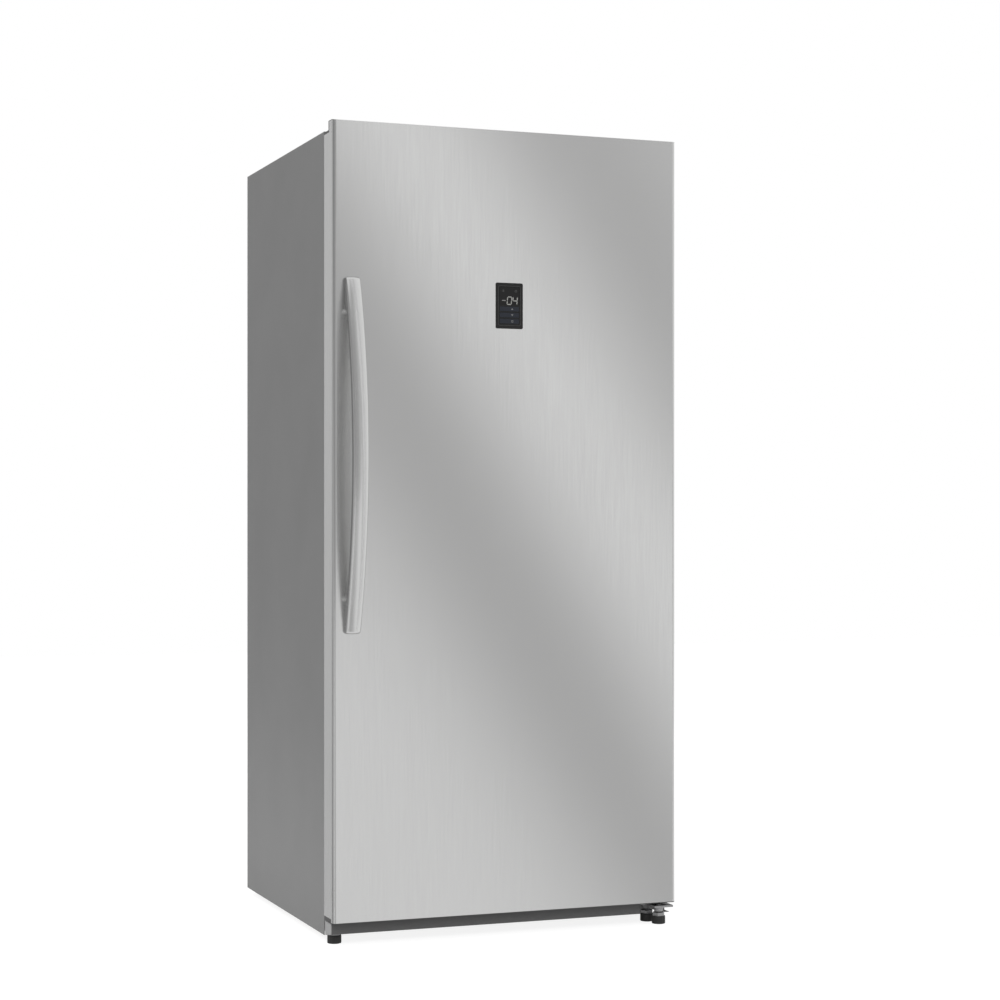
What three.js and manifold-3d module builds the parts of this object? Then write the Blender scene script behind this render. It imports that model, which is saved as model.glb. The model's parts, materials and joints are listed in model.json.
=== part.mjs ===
// Upright freezer with one door. Millimetres, +Z up, the door faces -Y and hangs on hinges at +X.
// The origin is on the floor, under the middle of the whole object.
import * as THREE from "three";
import { mergeVertices } from "three/addons/utils/BufferGeometryUtils.js";
import Module from "manifold-3d";

const wasm = await Module();
wasm.setup();

// ---- Driving dimensions: cabinet ----
const CABINET_WIDTH = 708;
const CABINET_DEPTH = 595;
const CABINET_HEIGHT = 1538;
const CABINET_LIFT = 12; // floor to the lower edge of the side panels
const SHEET = 1; // steel sheet of the panels and the door skin
const FRONT_RETURN = 20; // fold of the panels round the opening
const WALL = 60; // side and top wall
const REAR_WALL = 65;
const FLOOR_WALL = 60;
const LINER = 2; // plastic liner sheet
const FIT = 0.3; // gap between pieces that are put together
const PAST = 1; // how far a cut reaches past the face it opens, or a joined form into its neighbour
const RUN_GAP = 1; // gap beside pieces that slide or lift

// ---- Driving dimensions: door ----
const DOOR_OVERHANG = 2; // door past the cabinet on each side
const DOOR_THICKNESS = 59;
const DOOR_LIFT = 43;
const DOOR_RISE = 14; // the door's lip stands this far above the cabinet
const DOOR_GAP = 6; // between door and cabinet, filled by the gasket
const DOOR_EDGE_RADIUS = 7;
const LIP_DEPTH = 30;
const LIP_HEIGHT = 17.5;
const CAP_WALL = 4.5;
const CAP_SKIN = 1.5; // the caps where the door skin runs in front of them
const CAP_BOTTOM = 8;
const CAP_SETBACK = 12;
const HINGE_INSET_X = 15; // hinge axis to the door's right edge
const HINGE_INSET_Y = 29; // hinge axis behind the door's front
const PIN_RADIUS = 4;
const PIN_DEPTH = 16;
const HINGE_TIP = 8; // radius of the top bracket round its pin
const POCKET_FRONT = 9; // what is left of the lip in front of the top bracket
const POCKET_SIDE = 12;
const POCKET_WALL = 3;
const GASKET_MARGIN = 13; // door's side edge to the gasket
const GASKET_WIDTH = 20;
const GASKET_LOW = 25; // door's lower edge to the gasket
const GASKET_HIGH = 39; // gasket to the door's top edge
const GASKET_CORNER = 6;

// ---- Driving dimensions: handle and control panel ----
const HANDLE_REACH = 68;
const HANDLE_END_REACH = 14;
const HANDLE_LENGTH = 675;
const HANDLE_THICKNESS = 17;
const HANDLE_WIDTH = 30;
const HANDLE_SEAT = 60;
const HANDLE_INSET = 37; // handle centre line to the door's left edge
const HANDLE_LIFT = 548; // handle's lower end above the door's lower edge
const HANDLE_ROUND = 5;
const STUD_RADIUS = 4;
const STUD_HEAD = 9;
const STUD_HEAD_DEPTH = 3;
const STUD_LENGTH = 28;
const STUD_BITE = 9; // how far a stud reaches into the handle
const STUD_INSET = 28;
const PANEL_WIDTH = 56;
const PANEL_HEIGHT = 89;
const PANEL_DROP = 297; // door's top edge to the panel's top edge
const PANEL_PROUD = 1.2;
const PANEL_PLATE = 2.4;
const PANEL_BORDER = 3;
const PANEL_DEPTH = 12;
const PANEL_WALL = 2;
const PANEL_CORNER = 3;
const KEY_CORNER = 1.5; // window and buttons
const BOARD_THICKNESS = 1.6;
const WINDOW_WIDTH = 42;
const WINDOW_HEIGHT = 34;
const WINDOW_DROP = 8;
const WINDOW_THICKNESS = 1.5;
const BUTTON_WIDTH = 40;
const BUTTON_HEIGHT = 9;
const BUTTON_SPACING = 12;
const BUTTON_DROP = 46; // panel's top edge to the first button
const BUTTON_TRAVEL = 0.8;
const BUTTON_LIP = 1.2;
const BUTTON_PLUNGER = 3;

// ---- Driving dimensions: inside the cabinet ----
const MACHINE_DEPTH = 210;
const MACHINE_HEIGHT = 210;
const STEP_WALL = 50;
const BULGE = 18; // the door liner's plateau
const BULGE_CLEAR = 24; // plateau to the cabinet's inner side wall
const BULGE_MARGIN = 20; // plateau to the floor and ceiling of the cabinet
const TOWER_DEPTH = 80;
const TOWER_WIDTH = 24;
const TOWER_LOW = 370; // height of the towers' lower ends above the floor
const BIN_COUNT = 4;
const BIN_FIRST = 385;
const BIN_SPACING = 270;
const BIN_HEIGHT = 95;
const BIN_DEPTH = 92;
const BIN_WALL = 3;
const BIN_RIM = 7;
const LEDGE_HEIGHT = 12;
const SHELF_COUNT = 4;
const SHELF_FIRST = 314;
const SHELF_SPACING = 290;
const SHELF_CLEAR = 18; // between the door bins and the shelves
const SHELF_WIRE = 2.5; // radius of a wire
const SHELF_FRAME = 4; // radius of the frame wire
const SHELF_WIRES = 13;
const SHELF_LEDGE = 12;
const BASKET_CLEAR = 39; // basket to the cabinet's inner side wall
const BASKET_DEPTH = 300;
const BASKET_HEIGHT = 175;
const BASKET_LIFT = 110;
const BASKET_SETBACK = 20; // cabinet's front to the basket
const BASKET_WALL = 3;
const BASKET_RIM = 10;
const BASKET_BAR = 14; // width of the bars between the slots
const BASKET_SKIRT = 30; // below the side slots
const BASKET_BAND = 35; // above the side slots
const BASKET_SLOTS_WIDE = 9;
const BASKET_SLOTS_DEEP = 5;
const RAIL_SHEET = 3;
const RAIL_OVERLAP = 8;
const RAIL_FLANGE = 30;
const LAMP = { width: 90, depth: 40, height: 14, corner: 8 };

// ---- Driving dimensions: base, feet and cooling ----
const BASE_TOP = 40;
const BASE_LOW = 20; // lower edge of the kick plate and the rails
const BASE_SHEET = 3;
const BASE_FORWARD = 20; // kick plate behind the door's front
const KICK_SHEET = 2;
const KICK_SHORT = 65; // kick plate's right end to the cabinet's side
const RAIL_WIDTH = 11;
const FOOT_RADIUS = 13.5;
const FOOT_PAD = 12;
const STUD_FOOT = 5;
const FOOT_EDGE = 1.5;
const FOOT_TRAVEL = 12;
const FOOT_HOLD = 1; // left in the boss when the foot is fully out
const BOSS_RADIUS = 9;
const BOSS_LOW = 26;
const FOOT_LEFT = { side: -1, inset: 14, behind: 45 }; // from the cabinet's side and the door's front
const FOOT_RIGHT = { side: 1, inset: 38, behind: 50 };
const FOOT_HINGE = { side: 1, inset: 28, behind: 16 };
const BRACKET_SHEET = 4;
const BRACKET_MARGIN = 3;
const BRACKET_BOSS = 8; // thread boss below the bottom bracket
const TOP_PLATE_DEPTH = 66;
const TOP_PLATE_SETBACK = 4; // cabinet's front to the top bracket's seat
const BOLT = { radius: 5, head: 3, first: 16, second: 46 }; // places from the seat's front edge
const HINGE_COVER_CORNER = 4;
const ROLLER_RADIUS = 15;
const ROLLER_WIDTH = 20;
const ROLLER_SIDE = 54; // roller to the cabinet's side
const ROLLER_INSET = 30;
const AXLE_RADIUS = 4;
const FORK_HALF = 9;
const FORK_DROP = 7; // fork below the axle
const EVAPORATOR_ROOM = 75;
const COVER_SHEET = 2.5;
const COVER_HEIGHT = 800;
const INTAKE = { count: 6, lift: 30, spacing: 14, height: 7, share: 0.8 };
const OUTLET_BARS = 6;
const COIL_SIDE = 50; // evaporator to the liner's side
const COIL_CLEAR = 8; // evaporator to its cover and to the liner behind it
const COIL_LIFT = 90;
const COIL_SHEET = 2;
const HEATER_DROP = 40; // heater below the evaporator's fins
const HEATER_PAST = 12; // heater past the evaporator's ends
const EVAPORATOR_FAN = 60;
const CONDENSER_FAN = 68;
const FAN_SHAFT = 3; // radius
const FAN_HUB = 20; // length
const FAN_GAP = 3; // motor to hub
const SHAFT_PAST = 2; // shaft past the hub
// A fan blade's sheet and turn, and the rest as shares of the fan's radius.
const BLADE = { sheet: 2, turn: 0.5, hub: 0.24, length: 0.8, chord: 0.5, middle: 0.58 };
const MOTOR_PLATE = { half: 45, sheet: 3 };
const EVAPORATOR_MOTOR = { radius: 30, length: 30 };
const CONDENSER_MOTOR = { radius: 26, length: 34 };
const SHROUD_SHEET = 4;
const SHROUD_CLEAR = 4; // shroud to the walls and to the fan
const ARM = { offset: 26, depth: 8, half: 6 }; // holds the condenser fan's motor behind the shroud
const COMPRESSOR_RADIUS = 78;
const COMPRESSOR_HEIGHT = 165;
const COMPRESSOR_SIDE = 169; // compressor's middle to the cabinet's left side
const COMPRESSOR_MOUNT = { height: 6, radius: 9 };
const SHROUD_AFTER = 135; // compressor's middle to the fan's shroud
const CONDENSER_AFTER = 115; // shroud to the condenser
const CONDENSER_SIDE = 25; // condenser to the machine room's front and back
const CONDENSER_LIFT = 35;
const CONDENSER_DROP = 20;
const LINE_RADIUS = 3.5;
const LINE_LIFT = 65;
const LINE_BACK = 12; // refrigerant line to the cabinet's back
const LINE_BEND = 20;
const LINE_INSET = 10; // line to the condenser's rear edge
const LINE_RISE = 8;
const DRIER = { lead: 12, taper: 10, length: 40, radius: 8 };
const TUBE_RADIUS = 4.5;
const PAN_HEIGHT = 26;
const PAN_MARGIN = 12;
const DRAIN_AFTER = 80; // fan's shroud to the drain
const DRAIN_LIFT = 12; // pan's floor to the drain's end
const DRAIN_RADIUS = 8;
const INLET_RADIUS = 12;
const INLET_SIDE = 54; // cord inlet to the cabinet's left side
const INLET_LIFT = 80;
const INLET_COLLAR = 4;
const INLET_DEPTH = 14;
const LOUVRE = { count: 7, spacing: 18, height: 6, width: 148, gap: 28, drop: 30 };

// ---- Places worked out from the dimensions ----
const around = (middle, half) => [middle - half, middle + half];
const along = (start, length) => [start, start + length];

const HALF = CABINET_WIDTH / 2;
const CABINET_TOP = CABINET_LIFT + CABINET_HEIGHT;
const REAR = (HANDLE_REACH + DOOR_THICKNESS + DOOR_GAP + CABINET_DEPTH) / 2;
const FRONT = REAR - CABINET_DEPTH;
const DOOR_FRONT = FRONT - DOOR_GAP - DOOR_THICKNESS;
const DOOR_HEIGHT = CABINET_TOP + DOOR_RISE - DOOR_LIFT;
const DOOR_HALF = HALF + DOOR_OVERHANG;
const DOOR_REAR_TOP = DOOR_HEIGHT - LIP_HEIGHT;
const HINGE_X = DOOR_HALF - HINGE_INSET_X;
const HINGE_Y = DOOR_FRONT + HINGE_INSET_Y;
const CAVITY_HALF = HALF - WALL;
const CAVITY_FLOOR = BASE_TOP + FLOOR_WALL;
const CAVITY_TOP = CABINET_TOP - WALL;
const CAVITY_BACK = REAR - REAR_WALL;
const STEP_FRONT = REAR - MACHINE_DEPTH - STEP_WALL;
const STEP_TOP = BASE_TOP + MACHINE_HEIGHT + STEP_WALL;
const LINER_INSET = LINER + FIT;
const LINER_HALF = CAVITY_HALF - LINER_INSET;
const LINER_BACK = CAVITY_BACK - LINER_INSET;
const LINER_STEP = STEP_TOP + LINER_INSET;
const LINER_TOP = CAVITY_TOP - LINER_INSET;
const COVER_FRONT = LINER_BACK - EVAPORATOR_ROOM;
const FAN_Z = LINER_STEP + COVER_HEIGHT - 1.6 * EVAPORATOR_FAN;
const MOTOR_FRONT = LINER_BACK - FIT - MOTOR_PLATE.sheet - EVAPORATOR_MOTOR.length;
const MACHINE_FRONT = REAR - MACHINE_DEPTH;
const MACHINE_TOP = BASE_TOP + MACHINE_HEIGHT;
const MACHINE_MIDDLE = REAR - MACHINE_DEPTH / 2;
const CONDENSER_FAN_Z = (BASE_TOP + MACHINE_TOP) / 2;
const COMPRESSOR_X = COMPRESSOR_SIDE - HALF;
const SHROUD_X = COMPRESSOR_X + SHROUD_AFTER;
const SHROUD_Y = around(MACHINE_MIDDLE, MACHINE_DEPTH / 2 - SHROUD_CLEAR);
const DRAIN_X = SHROUD_X + DRAIN_AFTER;
const LINE_Y = REAR - LINE_BACK;
const LINE_Z = BASE_TOP + LINE_LIFT;
const INLET = [INLET_SIDE - HALF, INLET_LIFT];
const ROLLER_X = HALF - ROLLER_SIDE;
const KICK_RIGHT = HALF - KICK_SHORT;
const FOOT_TOP = BOSS_LOW + FOOT_TRAVEL + FOOT_HOLD;
const HANDLE_X = HANDLE_INSET - DOOR_HALF;
const PANEL_TOP = DOOR_HEIGHT - PANEL_DROP;
const BOX_BACK = PANEL_PLATE - PANEL_PROUD + PANEL_DEPTH; // rear edge of the panel's box
const BULGE_HALF = CAVITY_HALF - BULGE_CLEAR;
const BIN_HALF = BULGE_HALF - TOWER_WIDTH - RUN_GAP - BIN_RIM;
const BIN_FRONT = DOOR_THICKNESS + BULGE + RUN_GAP;
const SHELF_FRONT = DOOR_FRONT + BIN_FRONT + BIN_DEPTH + SHELF_CLEAR;
const BASKET_HALF = CAVITY_HALF - BASKET_CLEAR;
const BASKET_FRONT = FRONT + BASKET_SETBACK;
const BASKET_TOP = BASKET_LIFT + BASKET_HEIGHT;
const BRACKET_TOP = BASE_TOP - BASE_SHEET - FIT;
const PAN_FLOOR = BASE_TOP + FIT + LINER;

// ---- Finishes ----
const finish = (color, roughness, metalness) =>
  new THREE.MeshStandardMaterial({ color, roughness, metalness });
const PAINT = () => finish(0x85878a, 0.45, 0.3);
const STAINLESS = () => finish(0xb8b9ba, 0.32, 0.9);
const STEEL = () => finish(0x9a9c9f, 0.4, 0.85);
const DARK_PLASTIC = () => finish(0x3a3b3d, 0.55, 0);
const BLACK_PLASTIC = () => finish(0x18181a, 0.4, 0);
const WHITE_PLASTIC = () => finish(0xe9ebec, 0.4, 0);
const CLEAR_PLASTIC = () => finish(0xcfdbe2, 0.2, 0);
const FOAM = () => finish(0xe8dcae, 0.95, 0);
const RUBBER = () => finish(0x8d8f92, 0.8, 0);
const COPPER = () => finish(0xb87333, 0.35, 0.9);
const BLACK_METAL = () => finish(0x1e1e20, 0.5, 0.4);

// ---- Solids ----
function toSolid(geometry) {
  const bare = geometry.clone();
  bare.deleteAttribute("normal");
  bare.deleteAttribute("uv");
  const merged = mergeVertices(bare, 1e-4);
  const corners = [];
  for (let i = 0; i < merged.index.count; i += 3) {
    const [a, b, c] = [0, 1, 2].map((k) => merged.index.getX(i + k));
    if (a !== b && b !== c && c !== a) corners.push(a, b, c);
  }
  const vertProperties = Float32Array.from(merged.attributes.position.array);
  if (signedVolume(vertProperties, corners) < 0) corners.reverse();
  return new wasm.Manifold(
    new wasm.Mesh({ numProp: 3, vertProperties, triVerts: Uint32Array.from(corners) }),
  );
}

function signedVolume(positions, corners) {
  const corner = (i) => new THREE.Vector3().fromArray(positions, 3 * corners[i]);
  let volume = 0;
  for (let i = 0; i < corners.length; i += 3) {
    volume += corner(i).dot(corner(i + 1).cross(corner(i + 2))) / 6;
  }
  return volume;
}

function toGeometry(solid) {
  const mesh = solid.getMesh();
  const geometry = new THREE.BufferGeometry();
  geometry.setAttribute("position", new THREE.BufferAttribute(mesh.vertProperties, 3));
  geometry.setIndex(new THREE.BufferAttribute(mesh.triVerts, 1));
  const flat = geometry.toNonIndexed();
  flat.computeVertexNormals();
  return flat;
}

const join = (solids) => solids.reduce((all, one) => all.add(one));
const cut = (solid, tools) => tools.reduce((left, tool) => left.subtract(tool), solid);
const range = (count) => [...Array(count).keys()];

function block([x0, x1], [y0, y1], [z0, z1]) {
  const box = new THREE.BoxGeometry(x1 - x0, y1 - y0, z1 - z0);
  return toSolid(box.translate((x0 + x1) / 2, (y0 + y1) / 2, (z0 + z1) / 2));
}

// A round bar from low to high along an axis; across holds its two other coordinates in X, Y, Z order.
function rod(axis, radius, [low, high], across, sides = 16) {
  const bar = new THREE.CylinderGeometry(radius, radius, high - low, sides);
  const middle = (low + high) / 2;
  if (axis === "x") bar.rotateZ(-Math.PI / 2).translate(middle, across[0], across[1]);
  if (axis === "y") bar.translate(across[0], middle, across[1]);
  if (axis === "z") bar.rotateX(Math.PI / 2).translate(across[0], across[1], middle);
  return toSolid(bar);
}

// A turned piece: its profile holds [radius, place along the axis] and starts and ends on the axis.
function turned(axis, profile, across, sides = 20) {
  const points = profile.map(([radius, place]) => new THREE.Vector2(radius, place));
  const piece = new THREE.LatheGeometry(points, sides);
  if (axis === "x") piece.rotateZ(-Math.PI / 2).translate(0, across[0], across[1]);
  if (axis === "y") piece.translate(across[0], 0, across[1]);
  if (axis === "z") piece.rotateX(Math.PI / 2).translate(across[0], across[1], 0);
  return toSolid(piece);
}

const outline = (points) => new THREE.Shape(points.map(([u, v]) => new THREE.Vector2(u, v)));

// Extrudes an outline along an axis. The outline holds (y, z) for x, (x, z) for y and (x, y) for z.
function prism(axis, shape, [low, high], options = {}) {
  const body = new THREE.ExtrudeGeometry(shape, {
    depth: high - low,
    bevelEnabled: false,
    curveSegments: 6,
    ...options,
  });
  const [X, Y, Z] = [0, 1, 2].map((i) => new THREE.Vector3().setComponent(i, 1));
  const turn = new THREE.Matrix4();
  if (axis === "x") turn.makeBasis(Y, Z, X).setPosition(low, 0, 0);
  if (axis === "y") turn.makeBasis(X, Z, Y.clone().negate()).setPosition(0, high, 0);
  if (axis === "z") turn.makeBasis(X, Y, Z).setPosition(0, 0, low);
  return toSolid(body.applyMatrix4(turn));
}

function roundedRect([u0, u1], [v0, v1], radius) {
  const shape = new THREE.Shape();
  shape.absarc(u1 - radius, v0 + radius, radius, -Math.PI / 2, 0);
  shape.absarc(u1 - radius, v1 - radius, radius, 0, Math.PI / 2);
  shape.absarc(u0 + radius, v1 - radius, radius, Math.PI / 2, Math.PI);
  shape.absarc(u0 + radius, v0 + radius, radius, Math.PI, 1.5 * Math.PI);
  return shape;
}

// ---- Scene graph ----
const freezer = new THREE.Group();
const door = new THREE.Group();
door.position.set(0, DOOR_FRONT, DOOR_LIFT);
freezer.add(door);

function place(name, solid, material, group = freezer) {
  const mesh = new THREE.Mesh(toGeometry(solid), material);
  mesh.name = name;
  group.add(mesh);
  return mesh;
}

// ---- Cabinet ----
function sidePanel(side) {
  const width = (depth) => (side > 0 ? [HALF - depth, HALF] : [-HALF, depth - HALF]);
  const sheet = block(width(SHEET), [FRONT, REAR], [CABINET_LIFT, CABINET_TOP]);
  return sheet.add(block(width(FRONT_RETURN), along(FRONT, SHEET), [BASE_TOP, CABINET_TOP]));
}

function topPanel() {
  const between = HALF - SHEET - FIT;
  const inner = HALF - FRONT_RETURN - FIT;
  const height = [CABINET_TOP - SHEET, CABINET_TOP];
  const sheet = block([-between, between], [FRONT + SHEET + FIT, REAR], height);
  const fold = block([-inner, inner], along(FRONT, 2 * SHEET + FIT), height);
  const drop = block([-inner, inner], along(FRONT, SHEET), [CABINET_TOP - FRONT_RETURN, CABINET_TOP]);
  return join([sheet, fold, drop]);
}

// The storage space, shrunk by an inset, open past the cabinet's front; it steps over the machine room.
function storage(inset) {
  const [low, top] = [CAVITY_FLOOR + inset, CAVITY_TOP - inset];
  const [step, stepTop] = [STEP_FRONT - inset, STEP_TOP + inset];
  const [open, back] = [FRONT - SHEET, CAVITY_BACK - inset];
  const side = outline([
    [open, low],
    [step, low],
    [step, stepTop],
    [back, stepTop],
    [back, top],
    [open, top],
  ]);
  return prism("x", side, [inset - CAVITY_HALF, CAVITY_HALF - inset]);
}

function cabinetFoam() {
  const reach = HALF - SHEET - FIT;
  const depth = [FRONT + SHEET + FIT, REAR - SHEET - FIT];
  const body = block([-reach, reach], depth, [BASE_TOP + FIT, CABINET_TOP - SHEET - FIT]);
  const machine = block([-HALF, HALF], [MACHINE_FRONT, REAR], [0, MACHINE_TOP]);
  const outlet = [MACHINE_TOP - PAST, STEP_TOP + PAST];
  const drain = rod("z", DRAIN_RADIUS + FIT, outlet, [DRAIN_X, MACHINE_MIDDLE]);
  return cut(body, [storage(0), machine, drain]);
}

function innerLiner() {
  const flangeHalf = HALF - FRONT_RETURN - FIT;
  const flangeHeight = [BASE_TOP, CABINET_TOP - FRONT_RETURN - FIT];
  const flange = block([-flangeHalf, flangeHalf], along(FRONT, SHEET), flangeHeight);
  const tub = storage(FIT).intersect(block([-HALF, HALF], [FRONT, REAR], [0, CABINET_TOP]));
  const outlet = [STEP_TOP - PAST, LINER_STEP + PAST];
  const drain = rod("z", DRAIN_RADIUS + FIT, outlet, [DRAIN_X, MACHINE_MIDDLE]);
  const shell = cut(flange.add(tub), [storage(LINER_INSET), drain]);
  const depth = [SHELF_FRONT, COVER_FRONT - FIT];
  const [inner, outer] = [LINER_HALF - SHELF_LEDGE, LINER_HALF + LINER / 2];
  const ledges = range(SHELF_COUNT).flatMap((i) => {
    const height = along(SHELF_FIRST + i * SHELF_SPACING - SHELF_LEDGE, SHELF_LEDGE);
    return [block([inner, outer], depth, height), block([-outer, -inner], depth, height)];
  });
  return join([shell, ...ledges]);
}

function rearPanel() {
  const reach = HALF - SHEET - FIT;
  const height = [MACHINE_TOP + FIT, CABINET_TOP - SHEET - FIT];
  return block([-reach, reach], [REAR - SHEET, REAR], height);
}

function interiorLamp() {
  const depth = around(SHELF_FRONT + LAMP.depth, LAMP.depth / 2);
  const shape = roundedRect(around(0, LAMP.width / 2), depth, LAMP.corner);
  return prism("z", shape, along(LINER_TOP - FIT - LAMP.height, LAMP.height), { curveSegments: 3 });
}

// ---- Shelves and basket ----
function wireShelf(level) {
  const half = LINER_HALF - RUN_GAP - SHELF_FRAME;
  const [front, back] = [SHELF_FRONT + SHELF_FRAME, COVER_FRONT - 3 * FIT - SHELF_FRAME];
  const z = level + SHELF_FRAME + FIT;
  const sides = [half, -half].map((x) => rod("y", SHELF_FRAME, [front, back], [x, z], 8));
  const ends = [front, back].map((y) => rod("x", SHELF_FRAME, [-half, half], [y, z], 8));
  const posts = [half, -half].flatMap((x) =>
    [front, back].map((y) => rod("z", SHELF_FRAME, around(z, SHELF_FRAME), [x, y], 8)),
  );
  const wires = range(SHELF_WIRES).map((i) => {
    const x = -half + ((i + 1) * 2 * half) / (SHELF_WIRES + 1);
    return rod("y", SHELF_WIRE, [front, back], [x, z], 6);
  });
  return join([...sides, ...ends, ...posts, ...wires]);
}

function basket() {
  const half = BASKET_HALF - BASKET_RIM;
  const back = BASKET_FRONT + BASKET_DEPTH;
  const wall = BASKET_WALL;
  const outer = block([-half, half], [BASKET_FRONT, back], [BASKET_LIFT, BASKET_TOP]);
  const rim = block([-BASKET_HALF, BASKET_HALF], [BASKET_FRONT, back], [BASKET_TOP - wall, BASKET_TOP]);
  const depth = [BASKET_FRONT + wall, back - wall];
  const inner = block([wall - half, half - wall], depth, [BASKET_LIFT + wall, BASKET_TOP + PAST]);
  return cut(outer.add(rim), [inner, ...basketSlots(half, back)]);
}

// Upright slots through the walls and long slots through the floor of the basket.
function basketSlots(half, back) {
  const height = [BASKET_LIFT + BASKET_SKIRT, BASKET_TOP - BASKET_BAND];
  const wide = (2 * half - BASKET_BAR) / BASKET_SLOTS_WIDE;
  const deep = (BASKET_DEPTH - BASKET_BAR) / BASKET_SLOTS_DEEP;
  const upright = range(BASKET_SLOTS_WIDE).map((i) => {
    const x = along(BASKET_BAR - half + i * wide, wide - BASKET_BAR);
    return block(x, [BASKET_FRONT - PAST, back + PAST], height);
  });
  const others = range(BASKET_SLOTS_DEEP).flatMap((i) => {
    const y = along(BASKET_FRONT + BASKET_BAR + i * deep, deep - BASKET_BAR);
    const halves = [[BASKET_BAR - half, -BASKET_BAR], [BASKET_BAR, half - BASKET_BAR]];
    const floor = halves.map((x) => block(x, y, around(BASKET_LIFT, BASKET_BAR)));
    return [block([-half - PAST, half + PAST], y, height), ...floor];
  });
  return [...upright, ...others];
}

function basketRail(side) {
  const top = BASKET_TOP - BASKET_WALL - FIT;
  const inner = BASKET_HALF - RAIL_OVERLAP;
  const outer = LINER_HALF - FIT;
  const depth = [BASKET_FRONT, STEP_FRONT - LINER_INSET - RUN_GAP];
  const mirror = ([low, high]) => (side > 0 ? [low, high] : [-high, -low]);
  const track = block(mirror([inner, outer]), depth, [top - RAIL_SHEET, top]);
  const flange = block(mirror([outer - RAIL_SHEET, outer]), depth, [top - RAIL_FLANGE, top]);
  return track.add(flange);
}

// ---- Evaporator, behind its cover at the back of the storage space ----
function evaporatorCover() {
  const half = LINER_HALF - FIT;
  const low = LINER_STEP + FIT;
  const top = low + COVER_HEIGHT;
  const sheet = block([-half, half], along(COVER_FRONT, COVER_SHEET), [low, top]);
  const lid = block([-half, half], [COVER_FRONT, LINER_BACK - FIT], [top - COVER_SHEET, top]);
  const through = [COVER_FRONT - PAST, COVER_FRONT + COVER_SHEET + PAST];
  const intakes = range(INTAKE.count).map((i) => {
    const height = along(low + INTAKE.lift + i * INTAKE.spacing, INTAKE.height);
    return block(around(0, INTAKE.share * half), through, height);
  });
  const bar = EVAPORATOR_FAN / OUTLET_BARS;
  const outlets = range(OUTLET_BARS).map((i) => {
    const height = -EVAPORATOR_FAN + bar + i * 2 * bar;
    const width = Math.sqrt(EVAPORATOR_FAN ** 2 - height ** 2);
    return block([-width, width], through, around(FAN_Z + height, bar / 2));
  });
  return cut(sheet.add(lid), [...intakes, ...outlets]);
}

// Straight tubes through fins; the two end plates reach down to the floor that carries the coil.
function finnedCoil({ x, y, z, floor, fins, rows, levels }) {
  const spacing = (x[1] - x[0] - COIL_SHEET) / (fins - 1);
  const plates = range(fins).map((i) => {
    const low = i === 0 || i === fins - 1 ? floor : z[0];
    return block(along(x[0] + i * spacing, COIL_SHEET), y, [low, z[1]]);
  });
  const length = [x[0] - COIL_SHEET, x[1] + COIL_SHEET];
  const tubes = range(rows).flatMap((row) =>
    range(levels).map((level) => {
      const across = y[0] + ((row + 0.5) * (y[1] - y[0])) / rows;
      const height = z[0] + ((level + 0.5) * (z[1] - z[0])) / levels;
      return rod("x", TUBE_RADIUS, length, [across, height], 6);
    }),
  );
  return join([...plates, ...tubes]);
}

const EVAPORATOR = {
  x: around(0, LINER_HALF - COIL_SIDE),
  y: [COVER_FRONT + COVER_SHEET + COIL_CLEAR, LINER_BACK - COIL_CLEAR],
  z: [LINER_STEP + COIL_LIFT, FAN_Z - 1.3 * EVAPORATOR_FAN],
  floor: LINER_STEP + FIT,
  fins: 5,
  rows: 1,
  levels: 4,
};
const HEATER_PLACE = [(EVAPORATOR.y[0] + EVAPORATOR.y[1]) / 2, EVAPORATOR.z[0] - HEATER_DROP];

function evaporatorCoil() {
  const holes = rod("x", TUBE_RADIUS + FIT, [-HALF, HALF], HEATER_PLACE, 12);
  return finnedCoil(EVAPORATOR).subtract(holes);
}

function defrostHeater() {
  const length = [EVAPORATOR.x[0] - HEATER_PAST, EVAPORATOR.x[1] + HEATER_PAST];
  return rod("x", TUBE_RADIUS, length, HEATER_PLACE, 12);
}

function evaporatorFanMotor() {
  const at = [0, FAN_Z];
  const plateFront = MOTOR_FRONT + EVAPORATOR_MOTOR.length;
  const plate = block(
    around(0, MOTOR_PLATE.half),
    along(plateFront, MOTOR_PLATE.sheet),
    around(FAN_Z, MOTOR_PLATE.half),
  );
  const motor = rod("y", EVAPORATOR_MOTOR.radius, [MOTOR_FRONT, plateFront], at);
  const shaft = rod("y", FAN_SHAFT, [MOTOR_FRONT - FAN_GAP - FAN_HUB - SHAFT_PAST, MOTOR_FRONT], at, 12);
  return join([plate, motor, shaft]);
}

// A fan with flat blades, turned out of the fan's plane; its hub runs on a shaft.
function fanBlade(axis, radius, [low, high], blades) {
  const hub = rod(axis, BLADE.hub * radius, [low, high], [0, 0]);
  const middle = (low + high) / 2;
  const wings = range(blades).map((i) => {
    const wing = new THREE.BoxGeometry(BLADE.length * radius, BLADE.sheet, BLADE.chord * radius);
    wing.rotateX(BLADE.turn).translate(BLADE.middle * radius, 0, 0);
    wing.rotateY((i * 2 * Math.PI) / blades);
    if (axis === "x") wing.rotateZ(-Math.PI / 2).translate(middle, 0, 0);
    else wing.translate(0, middle, 0);
    return toSolid(wing);
  });
  const bore = rod(axis, FAN_SHAFT + FIT, [low - PAST, high + PAST], [0, 0], 12);
  return join([hub, ...wings]).subtract(bore);
}

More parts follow.
